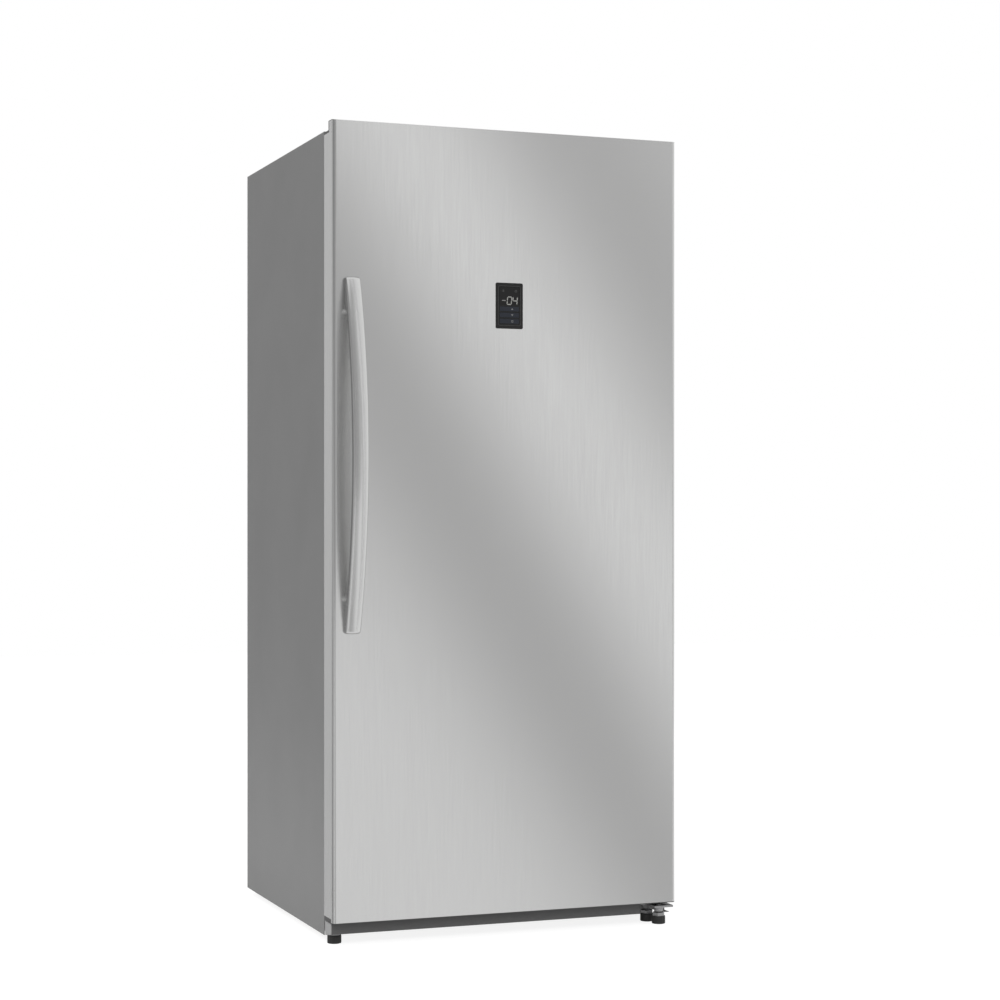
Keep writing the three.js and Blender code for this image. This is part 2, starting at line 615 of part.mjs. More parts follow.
// ---- Machine room ----
function compressor() {
  const floor = BASE_TOP + FIT;
  const low = floor + COMPRESSOR_MOUNT.height;
  const at = [COMPRESSOR_X, MACHINE_MIDDLE];
  const [r, h] = [COMPRESSOR_RADIUS, COMPRESSOR_HEIGHT];
  const shell = turned("z", [
    [0, low],
    [0.7 * r, low],
    [0.95 * r, low + 0.15 * h],
    [r, low + 0.3 * h],
    [r, low + 0.68 * h],
    [0.85 * r, low + 0.88 * h],
    [0.5 * r, low + h],
    [0, low + h],
  ], at);
  const plate = block(around(at[0], 1.25 * r), around(at[1], 0.75 * r), along(low, BASE_SHEET));
  const height = along(floor, 3 * COMPRESSOR_MOUNT.height);
  const mounts = [-1, 1].flatMap((i) =>
    [-1, 1].map((j) =>
      rod("z", COMPRESSOR_MOUNT.radius, height, [at[0] + 1.1 * r * i, at[1] + 0.6 * r * j], 12),
    ),
  );
  return join([shell, plate, ...mounts]);
}

const CONDENSER = {
  x: [SHROUD_X + CONDENSER_AFTER, CAVITY_HALF],
  y: [MACHINE_FRONT + CONDENSER_SIDE, REAR - CONDENSER_SIDE],
  z: [PAN_FLOOR + CONDENSER_LIFT, MACHINE_TOP - CONDENSER_DROP],
  floor: PAN_FLOOR + FIT,
  fins: 6,
  rows: 2,
  levels: 3,
};

function drainPan() {
  const x = [DRAIN_X - 3 * DRAIN_RADIUS, CONDENSER.x[1] + PAN_MARGIN];
  const y = [CONDENSER.y[0] - PAN_MARGIN, CONDENSER.y[1] + PAN_MARGIN];
  const outer = block(x, y, along(BASE_TOP + FIT, PAN_HEIGHT));
  const hollow = [x, y].map(([low, high]) => [low + LINER, high - LINER]);
  return outer.subtract(block(...hollow, along(PAN_FLOOR, PAN_HEIGHT)));
}

function drainTube() {
  const at = [DRAIN_X, MACHINE_MIDDLE];
  const top = LINER_STEP + FIT;
  const tube = rod("z", DRAIN_RADIUS, [PAN_FLOOR + DRAIN_LIFT, top + LINER], at);
  const collar = rod("z", 1.7 * DRAIN_RADIUS, along(top, LINER), at);
  const bore = rod("z", DRAIN_RADIUS - LINER, [PAN_FLOOR, top + 2 * LINER], at);
  return tube.add(collar).subtract(bore);
}

function condenserFanMotor() {
  const at = [MACHINE_MIDDLE, CONDENSER_FAN_Z];
  const through = [SHROUD_X - PAST, SHROUD_X + SHROUD_SHEET + PAST];
  const sheetHeight = [BASE_TOP + FIT, MACHINE_TOP - SHROUD_CLEAR];
  const sheet = block(along(SHROUD_X, SHROUD_SHEET), SHROUD_Y, sheetHeight);
  const hole = rod("x", CONDENSER_FAN + SHROUD_CLEAR, through, at, 24);
  const room = 2 * SHROUD_CLEAR;
  const passage = block(through, [LINE_Y - room, REAR], around(LINE_Z, room));
  const arm = along(SHROUD_X + ARM.offset, ARM.depth);
  const height = around(CONDENSER_FAN_Z, ARM.half);
  const bar = block(arm, SHROUD_Y, height);
  const legs = SHROUD_Y.map((y, i) =>
    block([SHROUD_X, arm[1]], i ? [y - ARM.depth, y] : [y, y + ARM.depth], height),
  );
  const motor = rod("x", CONDENSER_MOTOR.radius, along(arm[0], CONDENSER_MOTOR.length), at);
  const shaft = rod("x", FAN_SHAFT, [SHROUD_X - FAN_HUB / 2 - SHAFT_PAST, arm[0]], at, 12);
  return join([cut(sheet, [hole, passage]), bar, ...legs, motor, shaft]);
}

// From the compressor past the fan to the condenser, with the filter drier as a swelling on it.
function refrigerantLine() {
  const outlet = (away) => [COMPRESSOR_X + 0.8 * away, MACHINE_MIDDLE + 0.6 * away];
  const end = [CONDENSER.x[0] - FIT, CONDENSER.y[1] - LINE_INSET, LINE_Z + LINE_RISE];
  const behind = [-1, 1.5, 4].map((share) => [SHROUD_X + share * LINE_BEND, LINE_Y, LINE_Z]);
  const route = new THREE.CatmullRomCurve3([
    [...outlet(COMPRESSOR_RADIUS + FIT), LINE_Z],
    [...outlet(COMPRESSOR_RADIUS + LINE_BEND), LINE_Z],
    ...behind,
    [end[0] - DRIER.lead, end[1], end[2]],
    end,
  ].map((point) => new THREE.Vector3(...point)));
  const ring = range(8).map((i) => {
    const angle = (i * Math.PI) / 4;
    return [LINE_RADIUS * Math.cos(angle), LINE_RADIUS * Math.sin(angle)];
  });
  const tube = new THREE.ExtrudeGeometry(outline(ring), { steps: 18, extrudePath: route });
  const start = SHROUD_X + DRIER.lead;
  const drier = turned("x", [
    [0, start],
    [DRIER.radius, start + DRIER.taper],
    [DRIER.radius, start + DRIER.taper + DRIER.length],
    [0, start + 2 * DRIER.taper + DRIER.length],
  ], [LINE_Y, LINE_Z], 12);
  return toSolid(tube).add(drier);
}

function machineCover() {
  const reach = HALF - SHEET - FIT;
  const through = [REAR - SHEET - PAST, REAR + PAST];
  const sheet = block([-reach, reach], [REAR - SHEET, REAR], [BASE_LOW, MACHINE_TOP]);
  const louvres = [-1, 1].flatMap((side) => {
    const width = around((side * (LOUVRE.width + LOUVRE.gap)) / 2, LOUVRE.width / 2);
    return range(LOUVRE.count).map((i) => {
      const low = MACHINE_TOP - LOUVRE.drop - i * LOUVRE.spacing;
      return block(width, through, along(low, LOUVRE.height));
    });
  });
  return cut(sheet, [...louvres, rod("y", INLET_RADIUS + FIT, through, INLET, 20)]);
}

function cordInlet() {
  const back = REAR - SHEET - FIT;
  const collar = rod("y", 1.35 * INLET_RADIUS, [back - INLET_COLLAR, back], INLET, 20);
  const sleeve = rod("y", INLET_RADIUS, [back - INLET_DEPTH, REAR], INLET, 20);
  const through = [back - INLET_DEPTH - PAST, REAR + PAST];
  return collar.add(sleeve).subtract(rod("y", 0.35 * INLET_RADIUS, through, INLET, 12));
}

// ---- Base, feet and rollers ----
const footPlace = ({ side, inset, behind }) => [side * (HALF - inset), DOOR_FRONT + behind];
const BASE_FRONT = DOOR_FRONT + BASE_FORWARD + KICK_SHEET + FIT;
const NOTCH_X = footPlace(FOOT_HINGE)[0] - 2 * FOOT_RADIUS;
const NOTCH_Y = HINGE_Y + PIN_RADIUS + 3 * BRACKET_SHEET;
const ROLLER_Y = REAR - ROLLER_INSET;

function baseFrame() {
  const reach = HALF - SHEET - FIT;
  const height = [BASE_LOW, BASE_TOP];
  const plate = [BASE_TOP - BASE_SHEET, BASE_TOP];
  const back = REAR - SHEET - FIT;
  const pan = block([-reach, reach], [MACHINE_FRONT, back], plate);
  const deck = block([-reach, reach], [BASE_FRONT, FRONT + FLOOR_WALL], plate);
  const lip = block([-reach, KICK_RIGHT], along(BASE_FRONT, BASE_SHEET), height);
  const flanks = (depth, y) => [along(-reach, depth), [reach - depth, reach]].map((x) => block(x, y, height));
  const rails = flanks(RAIL_WIDTH, [FRONT + FIT, back]);
  const ends = flanks(BASE_SHEET, [BASE_FRONT, FRONT + PAST]);
  const feet = [FOOT_LEFT, FOOT_RIGHT].map(footPlace);
  const bosses = feet.map((at) => rod("z", BOSS_RADIUS, [BOSS_LOW, BASE_TOP - PAST], at));
  const threads = feet.map((at) => rod("z", STUD_FOOT + FIT, [0, BASE_TOP + PAST], at));
  const notch = block([NOTCH_X, HALF], [DOOR_FRONT, NOTCH_Y], [0, BASE_TOP + PAST]);
  const forks = [-ROLLER_X, ROLLER_X].flatMap((x) => rollerFork(x));
  return cut(join([pan, deck, lip, ...rails, ...ends, ...bosses, ...forks]), [...threads, notch]);
}

function rollerFork(x) {
  const half = ROLLER_WIDTH / 2 + RUN_GAP;
  const axle = rod("x", AXLE_RADIUS, around(x, half + BASE_SHEET), [ROLLER_Y, ROLLER_RADIUS]);
  const height = [ROLLER_RADIUS - FORK_DROP, BASE_TOP - PAST];
  const cheeks = [x - half - BASE_SHEET, x + half].map((low) =>
    block(along(low, BASE_SHEET), around(ROLLER_Y, FORK_HALF), height),
  );
  return [axle, ...cheeks];
}

function roller(x) {
  const at = [ROLLER_Y, ROLLER_RADIUS];
  const wheel = rod("x", ROLLER_RADIUS, around(x, ROLLER_WIDTH / 2), at, 32);
  return wheel.subtract(rod("x", AXLE_RADIUS + FIT, around(x, ROLLER_WIDTH), at));
}

function kickPlate() {
  const left = HALF - SHEET - FIT;
  return block([-left, KICK_RIGHT], along(DOOR_FRONT + BASE_FORWARD, KICK_SHEET), [BASE_LOW, BASE_TOP]);
}

function levellingFoot(at) {
  return turned("z", [
    [0, 0],
    [FOOT_RADIUS - FOOT_EDGE, 0],
    [FOOT_RADIUS, FOOT_EDGE],
    [FOOT_RADIUS, FOOT_PAD - FOOT_EDGE],
    [FOOT_RADIUS - 2 * FOOT_EDGE, FOOT_PAD],
    [STUD_FOOT, FOOT_PAD + FOOT_EDGE],
    [STUD_FOOT, FOOT_TOP],
    [0, FOOT_TOP],
  ], footPlace(at), 24);
}

function bottomHinge() {
  const low = BRACKET_TOP - BRACKET_SHEET;
  const foot = footPlace(FOOT_HINGE);
  const side = HALF - SHEET - FIT;
  const tongue = [footPlace(FOOT_RIGHT)[0] + BOSS_RADIUS + RUN_GAP, side - RAIL_WIDTH - FIT];
  const depth = [foot[1] - BOSS_RADIUS - BRACKET_MARGIN, NOTCH_Y - BRACKET_MARGIN];
  const head = block([foot[0] - FOOT_RADIUS, side], depth, [low, BRACKET_TOP]);
  const tail = block(tongue, [HINGE_Y, FRONT + FLOOR_WALL / 2], [low, BRACKET_TOP]);
  const boss = rod("z", BOSS_RADIUS, [low - BRACKET_BOSS, BRACKET_TOP], foot);
  const at = [HINGE_X, HINGE_Y];
  const collar = rod("z", 2 * PIN_RADIUS, [BRACKET_TOP - PAST, DOOR_LIFT - LINER - FIT], at);
  const pin = rod("z", PIN_RADIUS, [BRACKET_TOP - PAST, DOOR_LIFT + PIN_DEPTH], at);
  const thread = rod("z", STUD_FOOT + FIT, [0, BASE_TOP], foot);
  return join([head, tail, boss, collar, pin]).subtract(thread);
}

// ---- Top hinge ----
const TOP_PLATE = along(CABINET_TOP + FIT, BASE_SHEET);
const TOP_PLATE_X = [HINGE_X - 5 * HINGE_TIP, HINGE_X + HINGE_TIP];
const TOP_PLATE_Y = along(FRONT + TOP_PLATE_SETBACK, TOP_PLATE_DEPTH);

function topHinge() {
  const seat = block(TOP_PLATE_X, TOP_PLATE_Y, TOP_PLATE);
  const arm = block(around(HINGE_X, HINGE_TIP), [HINGE_Y, TOP_PLATE_Y[0] + PAST], TOP_PLATE);
  const tip = rod("z", HINGE_TIP, TOP_PLATE, [HINGE_X, HINGE_Y], 24);
  const pinLow = DOOR_LIFT + DOOR_REAR_TOP - PIN_DEPTH;
  const pin = rod("z", PIN_RADIUS, [pinLow, TOP_PLATE[1]], [HINGE_X, HINGE_Y]);
  const boltHeight = [TOP_PLATE[0], TOP_PLATE[1] + BOLT.head];
  const bolts = [BOLT.first, BOLT.second].map((back) =>
    rod("z", BOLT.radius, boltHeight, [HINGE_X - 2.5 * HINGE_TIP, TOP_PLATE_Y[0] + back], 6),
  );
  return join([seat, arm, tip, pin, ...bolts]);
}

function hingeCover() {
  const top = CABINET_TOP + DOOR_RISE;
  const wall = LINER;
  const x = [TOP_PLATE_X[0] - 2 * wall, HALF - SHEET];
  const y = [FRONT + 2 * SHEET - FIT, TOP_PLATE_Y[1] + 2 * wall];
  const shape = roundedRect(x, y, HINGE_COVER_CORNER);
  const outer = prism("z", shape, [CABINET_TOP + FIT, top], { curveSegments: 3 });
  const hollow = [x, y].map(([low, high]) => [low + wall, high - wall]);
  const inner = block(...hollow, [CABINET_TOP, top - wall]);
  const mouthDepth = [y[0] - PAST, y[0] + 2 * wall];
  const mouth = block(around(HINGE_X, HINGE_TIP + FIT), mouthDepth, [CABINET_TOP, TOP_PLATE[1] + FIT]);
  return cut(outer, [inner, mouth]);
}

// ---- Door, in its own frame: y from its front face backwards, z from its lower edge upwards ----
const plan = (inset) => {
  const half = DOOR_HALF - inset;
  const radius = DOOR_EDGE_RADIUS - inset;
  const shape = new THREE.Shape();
  shape.absarc(half - radius, DOOR_EDGE_RADIUS, radius, -Math.PI / 2, 0);
  shape.lineTo(half, 2 * DOOR_THICKNESS);
  shape.lineTo(-half, 2 * DOOR_THICKNESS);
  shape.absarc(radius - half, DOOR_EDGE_RADIUS, radius, Math.PI, 1.5 * Math.PI);
  return prism("z", shape, [-PAST, DOOR_HEIGHT + PAST]);
};

const DOOR_HINGE = [HINGE_X, HINGE_INSET_Y];

// The recess in the door's raised lip in which the top bracket turns.
function hingePocket(grow) {
  const width = [HINGE_X - POCKET_SIDE - grow, DOOR_HALF + PAST];
  const depth = [POCKET_FRONT - grow, LIP_DEPTH + CAP_WALL];
  return block(width, depth, [DOOR_REAR_TOP - grow, DOOR_HEIGHT + PAST]);
}

// The whole door with its caps.
function doorEnvelope() {
  const side = outline([
    [0, 0],
    [0, DOOR_HEIGHT],
    [LIP_DEPTH, DOOR_HEIGHT],
    [LIP_DEPTH, DOOR_REAR_TOP],
    [DOOR_THICKNESS, DOOR_REAR_TOP],
    [DOOR_THICKNESS, 0],
  ]);
  return plan(0).intersect(prism("x", side, [-DOOR_HALF, DOOR_HALF])).subtract(hingePocket(0));
}

// The door between its caps. Growing it leaves the room that the caps keep round it.
function doorBody(grow, front, back) {
  const step = DOOR_REAR_TOP - CAP_WALL + grow;
  const side = outline([
    [front, CAP_SKIN - grow],
    [front, DOOR_HEIGHT - CAP_SKIN + grow],
    [LIP_DEPTH - CAP_WALL + grow, DOOR_HEIGHT - CAP_SKIN + grow],
    [LIP_DEPTH - CAP_WALL + grow, step],
    [back, step],
    [back, CAP_BOTTOM - grow],
    [CAP_SETBACK + grow, CAP_BOTTOM - grow],
    [CAP_SETBACK + grow, CAP_SKIN - grow],
  ]);
  return prism("x", side, around(0, DOOR_HALF + PAST)).subtract(hingePocket(POCKET_WALL - grow));
}

const STUDS_Z = [HANDLE_LIFT + STUD_INSET, HANDLE_LIFT + HANDLE_LENGTH - STUD_INSET];
const studBore = (radius, depth) => STUDS_Z.map((z) => rod("y", radius, depth, [HANDLE_X, z]));
const panelRect = (border) => [
  around(0, PANEL_WIDTH / 2 - border),
  [PANEL_TOP - PANEL_HEIGHT + border, PANEL_TOP - border],
];

function doorSkin() {
  const wrap = plan(0).intersect(doorBody(0, 0, DOOR_THICKNESS)).subtract(plan(SHEET));
  const [x, z] = panelRect(PANEL_BORDER - FIT);
  const through = [-PAST, SHEET + PAST];
  return cut(wrap, [block(x, through, z), ...studBore(STUD_RADIUS + FIT, through)]);
}

function bulge(inset, front) {
  const half = BULGE_HALF - inset;
  const low = CAVITY_FLOOR + LINER_INSET + BULGE_MARGIN - DOOR_LIFT + inset;
  const high = LINER_TOP - BULGE_MARGIN - DOOR_LIFT - inset;
  const plateau = block([-half, half], [front, DOOR_THICKNESS + BULGE - inset], [low, high]);
  const depth = [front, DOOR_THICKNESS + TOWER_DEPTH - inset];
  const inner = BULGE_HALF - TOWER_WIDTH + inset;
  const towers = [[inner, half], [-half, -inner]].map((width) =>
    block(width, depth, [TOWER_LOW - DOOR_LIFT + inset, high]),
  );
  return join([plateau, ...towers]);
}

function doorFoam() {
  const core = plan(SHEET + FIT).intersect(doorBody(-FIT, 0, DOOR_THICKNESS - LINER_INSET));
  const [x, z] = panelRect(PANEL_BORDER - 2 * FIT);
  const recess = block(x, [0, BOX_BACK + BOARD_THICKNESS + FIT], z);
  const heads = studBore(STUD_HEAD + FIT, [0, SHEET + STUD_HEAD_DEPTH + 3 * FIT]);
  const shanks = studBore(STUD_RADIUS + FIT, [0, STUD_LENGTH + FIT]);
  const pins = hingeBores(PIN_RADIUS + LINER + 2 * FIT);
  return cut(core.add(bulge(LINER_INSET, DOOR_THICKNESS / 2)), [recess, ...heads, ...shanks, ...pins]);
}

// Bores for the hinge pins at the door's two ends.
function hingeBores(radius) {
  const depth = PIN_DEPTH + 2 * LINER;
  const ends = [[-PAST, depth], [DOOR_REAR_TOP - depth, DOOR_HEIGHT]];
  return ends.map((z) => rod("z", radius, z, DOOR_HINGE));
}

function binBottom(i) {
  return BIN_FIRST + i * BIN_SPACING - DOOR_LIFT;
}

function doorLiner() {
  const half = DOOR_HALF - SHEET - FIT;
  const height = [CAP_BOTTOM + FIT, DOOR_REAR_TOP - CAP_WALL - FIT];
  const sheet = block([-half, half], [DOOR_THICKNESS - LINER, DOOR_THICKNESS], height);
  const form = sheet.add(bulge(0, DOOR_THICKNESS - LINER));
  const hollow = bulge(LINER, DOOR_THICKNESS - 2 * LINER);
  const depth = [BIN_FRONT, DOOR_THICKNESS + TOWER_DEPTH - RUN_GAP];
  const [inner, outer] = [BIN_HALF + RUN_GAP, BULGE_HALF - TOWER_WIDTH + LINER / 2];
  const ledges = range(BIN_COUNT).flatMap((i) => {
    const top = binBottom(i) + BIN_HEIGHT - BIN_WALL - FIT;
    const high = [top - LEDGE_HEIGHT, top];
    return [block([inner, outer], depth, high), block([-outer, -inner], depth, high)];
  });
  return join([form.subtract(hollow), ...ledges]);
}

function doorGasket() {
  const half = DOOR_HALF - GASKET_MARGIN;
  const depth = [DOOR_THICKNESS + FIT, DOOR_THICKNESS + DOOR_GAP - FIT];
  const height = [GASKET_LOW, DOOR_HEIGHT - GASKET_HIGH];
  const outer = prism("y", roundedRect([-half, half], height, GASKET_CORNER), depth, { curveSegments: 3 });
  const hole = [height[0] + GASKET_WIDTH, height[1] - GASKET_WIDTH];
  const through = [DOOR_THICKNESS, DOOR_THICKNESS + DOOR_GAP];
  return outer.subtract(block(around(0, half - GASKET_WIDTH), through, hole));
}

function doorCap(height) {
  const shell = doorEnvelope().subtract(doorBody(FIT, -PAST, DOOR_THICKNESS + PAST));
  const slice = block([-DOOR_HALF, DOOR_HALF], [0, DOOR_THICKNESS], height);
  return cut(shell.intersect(slice), hingeBores(PIN_RADIUS + FIT));
}

function hingeBush() {
  const sleeve = rod("z", PIN_RADIUS + LINER, [CAP_BOTTOM + FIT, PIN_DEPTH + FIT], DOOR_HINGE);
  return sleeve.subtract(rod("z", PIN_RADIUS + FIT, [0, 2 * PIN_DEPTH], DOOR_HINGE));
}

// ---- Handle ----
function handle() {
  const middle = HANDLE_LIFT + HANDLE_LENGTH / 2;
  const half = HANDLE_LENGTH / 2;
  const rise = HANDLE_REACH - HANDLE_END_REACH;
  const outer = (half ** 2 + rise ** 2) / (2 * rise);
  const inner = outer - HANDLE_THICKNESS;
  const centre = outer - HANDLE_REACH;
  const outerTurn = Math.asin(half / outer);
  const innerTurn = Math.asin((half - HANDLE_SEAT) / inner);
  const bow = new THREE.Shape();
  bow.moveTo(-FIT, middle - half);
  bow.absarc(centre, middle, outer, Math.PI + outerTurn, Math.PI - outerTurn, true);
  bow.lineTo(-FIT, middle + half);
  bow.lineTo(-FIT, middle + half - HANDLE_SEAT);
  bow.absarc(centre, middle, inner, Math.PI - innerTurn, Math.PI + innerTurn, false);
  bow.lineTo(-FIT, middle - half + HANDLE_SEAT);
  const bar = prism("x", bow, around(HANDLE_X, HANDLE_WIDTH / 2 - HANDLE_ROUND), {
    bevelEnabled: true,
    bevelThickness: HANDLE_ROUND,
    bevelSize: HANDLE_ROUND,
    bevelOffset: -HANDLE_ROUND,
    bevelSegments: 2,
    curveSegments: 9,
  });
  return cut(bar, studBore(STUD_RADIUS + FIT, [-STUD_BITE - FIT, 0]));
}

function handleStud(z) {
  const at = [HANDLE_X, z];
  const shank = rod("y", STUD_RADIUS, [-STUD_BITE, STUD_LENGTH], at);
  const head = rod("y", STUD_HEAD, along(SHEET + FIT, STUD_HEAD_DEPTH), at);
  return shank.add(head);
}

// ---- Control panel ----
const windowRect = (border) => [
  around(0, WINDOW_WIDTH / 2 + border),
  [PANEL_TOP - WINDOW_DROP - WINDOW_HEIGHT - border, PANEL_TOP - WINDOW_DROP + border],
];

const buttonRect = (i, border) => {
  const top = PANEL_TOP - BUTTON_DROP - i * BUTTON_SPACING;
  return [around(0, BUTTON_WIDTH / 2 + border), [top - BUTTON_HEIGHT - border, top + border]];
};

function controlBezel() {
  const face = -PANEL_PROUD;
  const back = face + PANEL_PLATE - PANEL_PROUD;
  const [x, z] = panelRect(0);
  const flange = prism("y", roundedRect(x, z, PANEL_CORNER), [face, -FIT], { curveSegments: 3 });
  const [boxX, boxZ] = panelRect(PANEL_BORDER);
  const box = block(boxX, [-2 * FIT, BOX_BACK - FIT], boxZ);
  const [holeX, holeZ] = panelRect(PANEL_BORDER + PANEL_WALL);
  const hollow = block(holeX, [back, BOX_BACK], holeZ);
  const [glassX, glassZ] = windowRect(FIT);
  const rebate = block(glassX, [face - PAST, face + WINDOW_THICKNESS + FIT], glassZ);
  const buttons = range(3).map((i) => {
    const [buttonX, buttonZ] = buttonRect(i, FIT);
    return block(buttonX, [face - PAST, BOX_BACK], buttonZ);
  });
  return cut(flange.add(box), [hollow, rebate, ...buttons]);
}

function displayWindow() {
  const [x, z] = windowRect(0);
  const shape = roundedRect(x, z, KEY_CORNER);
  return prism("y", shape, along(-PANEL_PROUD, WINDOW_THICKNESS), { curveSegments: 3 });
}

function controlBoard() {
  const [x, z] = panelRect(PANEL_BORDER);
  return block(x, along(BOX_BACK, BOARD_THICKNESS), z);
}

function panelButton(i) {
  const back = PANEL_PLATE - 2 * PANEL_PROUD;
  const [x, z] = buttonRect(i, 0);
  const cap = prism("y", roundedRect(x, z, KEY_CORNER), [-PANEL_PROUD, back + PAST], { curveSegments: 3 });
  const [lipX, lipZ] = buttonRect(i, BUTTON_LIP);
  const lip = block(lipX, along(back + FIT, KEY_CORNER), lipZ);
  const reach = [back + PAST, BOX_BACK - BUTTON_TRAVEL - 2 * FIT];
  const plunger = rod("y", BUTTON_PLUNGER, reach, [0, (z[0] + z[1]) / 2], 8);
  return join([cap, lip, plunger]);
}

function doorBin(i) {
  const low = binBottom(i);
  const top = low + BIN_HEIGHT;
  const depth = along(BIN_FRONT, BIN_DEPTH);
  const outer = block([-BIN_HALF, BIN_HALF], depth, [low, top]);
  const reach = BIN_HALF + BIN_RIM;
  const rim = block([-reach, reach], [BIN_FRONT, DOOR_THICKNESS + TOWER_DEPTH], [top - BIN_WALL, top]);
  const half = BIN_HALF - BIN_WALL;
  const room = [depth[0] + BIN_WALL, depth[1] - BIN_WALL];
  const inner = block([-half, half], room, [low + BIN_WALL, top + PAST]);
  return outer.add(rim).subtract(inner);
}

// ---- The assembly ----
place("side_panel_left", sidePanel(-1), PAINT());
place("side_panel_right", sidePanel(1), PAINT());
place("top_panel", topPanel(), PAINT());
place("rear_panel", rearPanel(), STEEL());
place("cabinet_foam", cabinetFoam(), FOAM());
place("inner_liner", innerLiner(), WHITE_PLASTIC());
place("interior_lamp", interiorLamp(), CLEAR_PLASTIC());
range(SHELF_COUNT).forEach((i) => {
  place(`shelf_${i + 1}`, wireShelf(SHELF_FIRST + i * SHELF_SPACING), WHITE_PLASTIC());
});
place("basket_rail_left", basketRail(-1), WHITE_PLASTIC());
place("basket_rail_right", basketRail(1), WHITE_PLASTIC());
place("basket", basket(), WHITE_PLASTIC());

place("evaporator_cover", evaporatorCover(), WHITE_PLASTIC());
place("evaporator_coil", evaporatorCoil(), STEEL());
place("defrost_heater", defrostHeater(), STEEL());
place("evaporator_fan_motor", evaporatorFanMotor(), BLACK_METAL());
const coolingFan = new THREE.Group();
coolingFan.position.set(0, MOTOR_FRONT, FAN_Z);
freezer.add(coolingFan);
const coolingHub = [-FAN_GAP - FAN_HUB, -FAN_GAP];
const coolingBlade = fanBlade("y", EVAPORATOR_FAN - SHROUD_CLEAR, coolingHub, 5);
place("evaporator_fan_blade", coolingBlade, WHITE_PLASTIC(), coolingFan);

place("base_frame", baseFrame(), STEEL());
place("kick_plate", kickPlate(), DARK_PLASTIC());
place("foot_left", levellingFoot(FOOT_LEFT), BLACK_PLASTIC());
place("foot_right", levellingFoot(FOOT_RIGHT), BLACK_PLASTIC());
place("foot_hinge", levellingFoot(FOOT_HINGE), BLACK_PLASTIC());
place("roller_left", roller(-ROLLER_X), DARK_PLASTIC());
place("roller_right", roller(ROLLER_X), DARK_PLASTIC());
place("compressor", compressor(), BLACK_METAL());
place("condenser_coil", finnedCoil(CONDENSER), BLACK_METAL());
place("condenser_fan_motor", condenserFanMotor(), BLACK_METAL());
const airFan = new THREE.Group();
airFan.position.set(SHROUD_X, MACHINE_MIDDLE, CONDENSER_FAN_Z);
freezer.add(airFan);
const airBlade = fanBlade("x", CONDENSER_FAN, around(0, FAN_HUB / 2), 5);
place("condenser_fan_blade", airBlade, DARK_PLASTIC(), airFan);
place("refrigerant_line", refrigerantLine(), COPPER());
place("drain_tube", drainTube(), DARK_PLASTIC());
place("drain_pan", drainPan(), DARK_PLASTIC());
place("machine_cover", machineCover(), STEEL());
place("cord_inlet", cordInlet(), BLACK_PLASTIC());
place("top_hinge", topHinge(), STEEL());
place("hinge_cover", hingeCover(), DARK_PLASTIC());
place("bottom_hinge", bottomHinge(), STEEL());

place("door_skin", doorSkin(), STAINLESS(), door);
place("door_foam", doorFoam(), FOAM(), door);
place("door_liner", doorLiner(), WHITE_PLASTIC(), door);
place("door_gasket", doorGasket(), RUBBER(), door);
place("door_cap_top", doorCap([DOOR_HEIGHT / 2, DOOR_HEIGHT]), DARK_PLASTIC(), door);
place("door_cap_bottom", doorCap([0, DOOR_HEIGHT / 2]), DARK_PLASTIC(), door);
place("hinge_bush", hingeBush(), WHITE_PLASTIC(), door);
place("handle", handle(), STAINLESS(), door);
place("handle_stud_low", handleStud(STUDS_Z[0]), STEEL(), door);
place("handle_stud_high", handleStud(STUDS_Z[1]), STEEL(), door);
place("control_bezel", controlBezel(), BLACK_PLASTIC(), door);
place("control_board", controlBoard(), DARK_PLASTIC(), door);
place("display_window", displayWindow(), BLACK_PLASTIC(), door);
["button_up", "button_down", "button_mode"].forEach((name, i) => {
  place(name, panelButton(i), BLACK_PLASTIC(), door);
});
range(BIN_COUNT).forEach((i) => place(`door_bin_${i + 1}`, doorBin(i), CLEAR_PLASTIC(), door));

export default freezer;
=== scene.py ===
import json
import math

import bmesh
import bpy
from mathutils import Matrix, Vector

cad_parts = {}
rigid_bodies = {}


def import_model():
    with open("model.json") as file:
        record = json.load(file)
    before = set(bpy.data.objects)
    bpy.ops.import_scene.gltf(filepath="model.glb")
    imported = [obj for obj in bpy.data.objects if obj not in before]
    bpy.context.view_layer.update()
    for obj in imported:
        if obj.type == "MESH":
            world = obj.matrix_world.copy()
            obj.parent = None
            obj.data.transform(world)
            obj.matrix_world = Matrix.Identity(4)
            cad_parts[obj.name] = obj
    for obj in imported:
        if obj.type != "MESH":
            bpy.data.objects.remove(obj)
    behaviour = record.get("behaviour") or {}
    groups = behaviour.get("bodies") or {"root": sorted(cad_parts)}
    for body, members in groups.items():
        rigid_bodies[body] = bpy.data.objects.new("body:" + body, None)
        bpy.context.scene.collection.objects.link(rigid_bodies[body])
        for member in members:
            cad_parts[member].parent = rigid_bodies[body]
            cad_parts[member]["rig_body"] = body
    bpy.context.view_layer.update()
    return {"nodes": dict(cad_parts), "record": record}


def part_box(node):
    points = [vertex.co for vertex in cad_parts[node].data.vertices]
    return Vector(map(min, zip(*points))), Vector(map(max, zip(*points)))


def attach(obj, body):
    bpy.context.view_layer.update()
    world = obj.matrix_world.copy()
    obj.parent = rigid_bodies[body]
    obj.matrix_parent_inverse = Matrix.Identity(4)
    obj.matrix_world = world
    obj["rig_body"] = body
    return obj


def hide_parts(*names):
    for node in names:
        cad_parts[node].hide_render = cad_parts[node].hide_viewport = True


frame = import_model()
nodes = frame["nodes"]
scene = bpy.context.scene

# ---- Camera, as in the photograph ----
CAMERA_PLACE = (-1.5387, -4.3095, 0.800)
CAMERA_AHEAD = (0.354, 0.935, 0)  # level, so that upright edges stay parallel
CAMERA_LENS, CAMERA_SENSOR, CAMERA_SHIFT = 79.65, 36, 0.0234

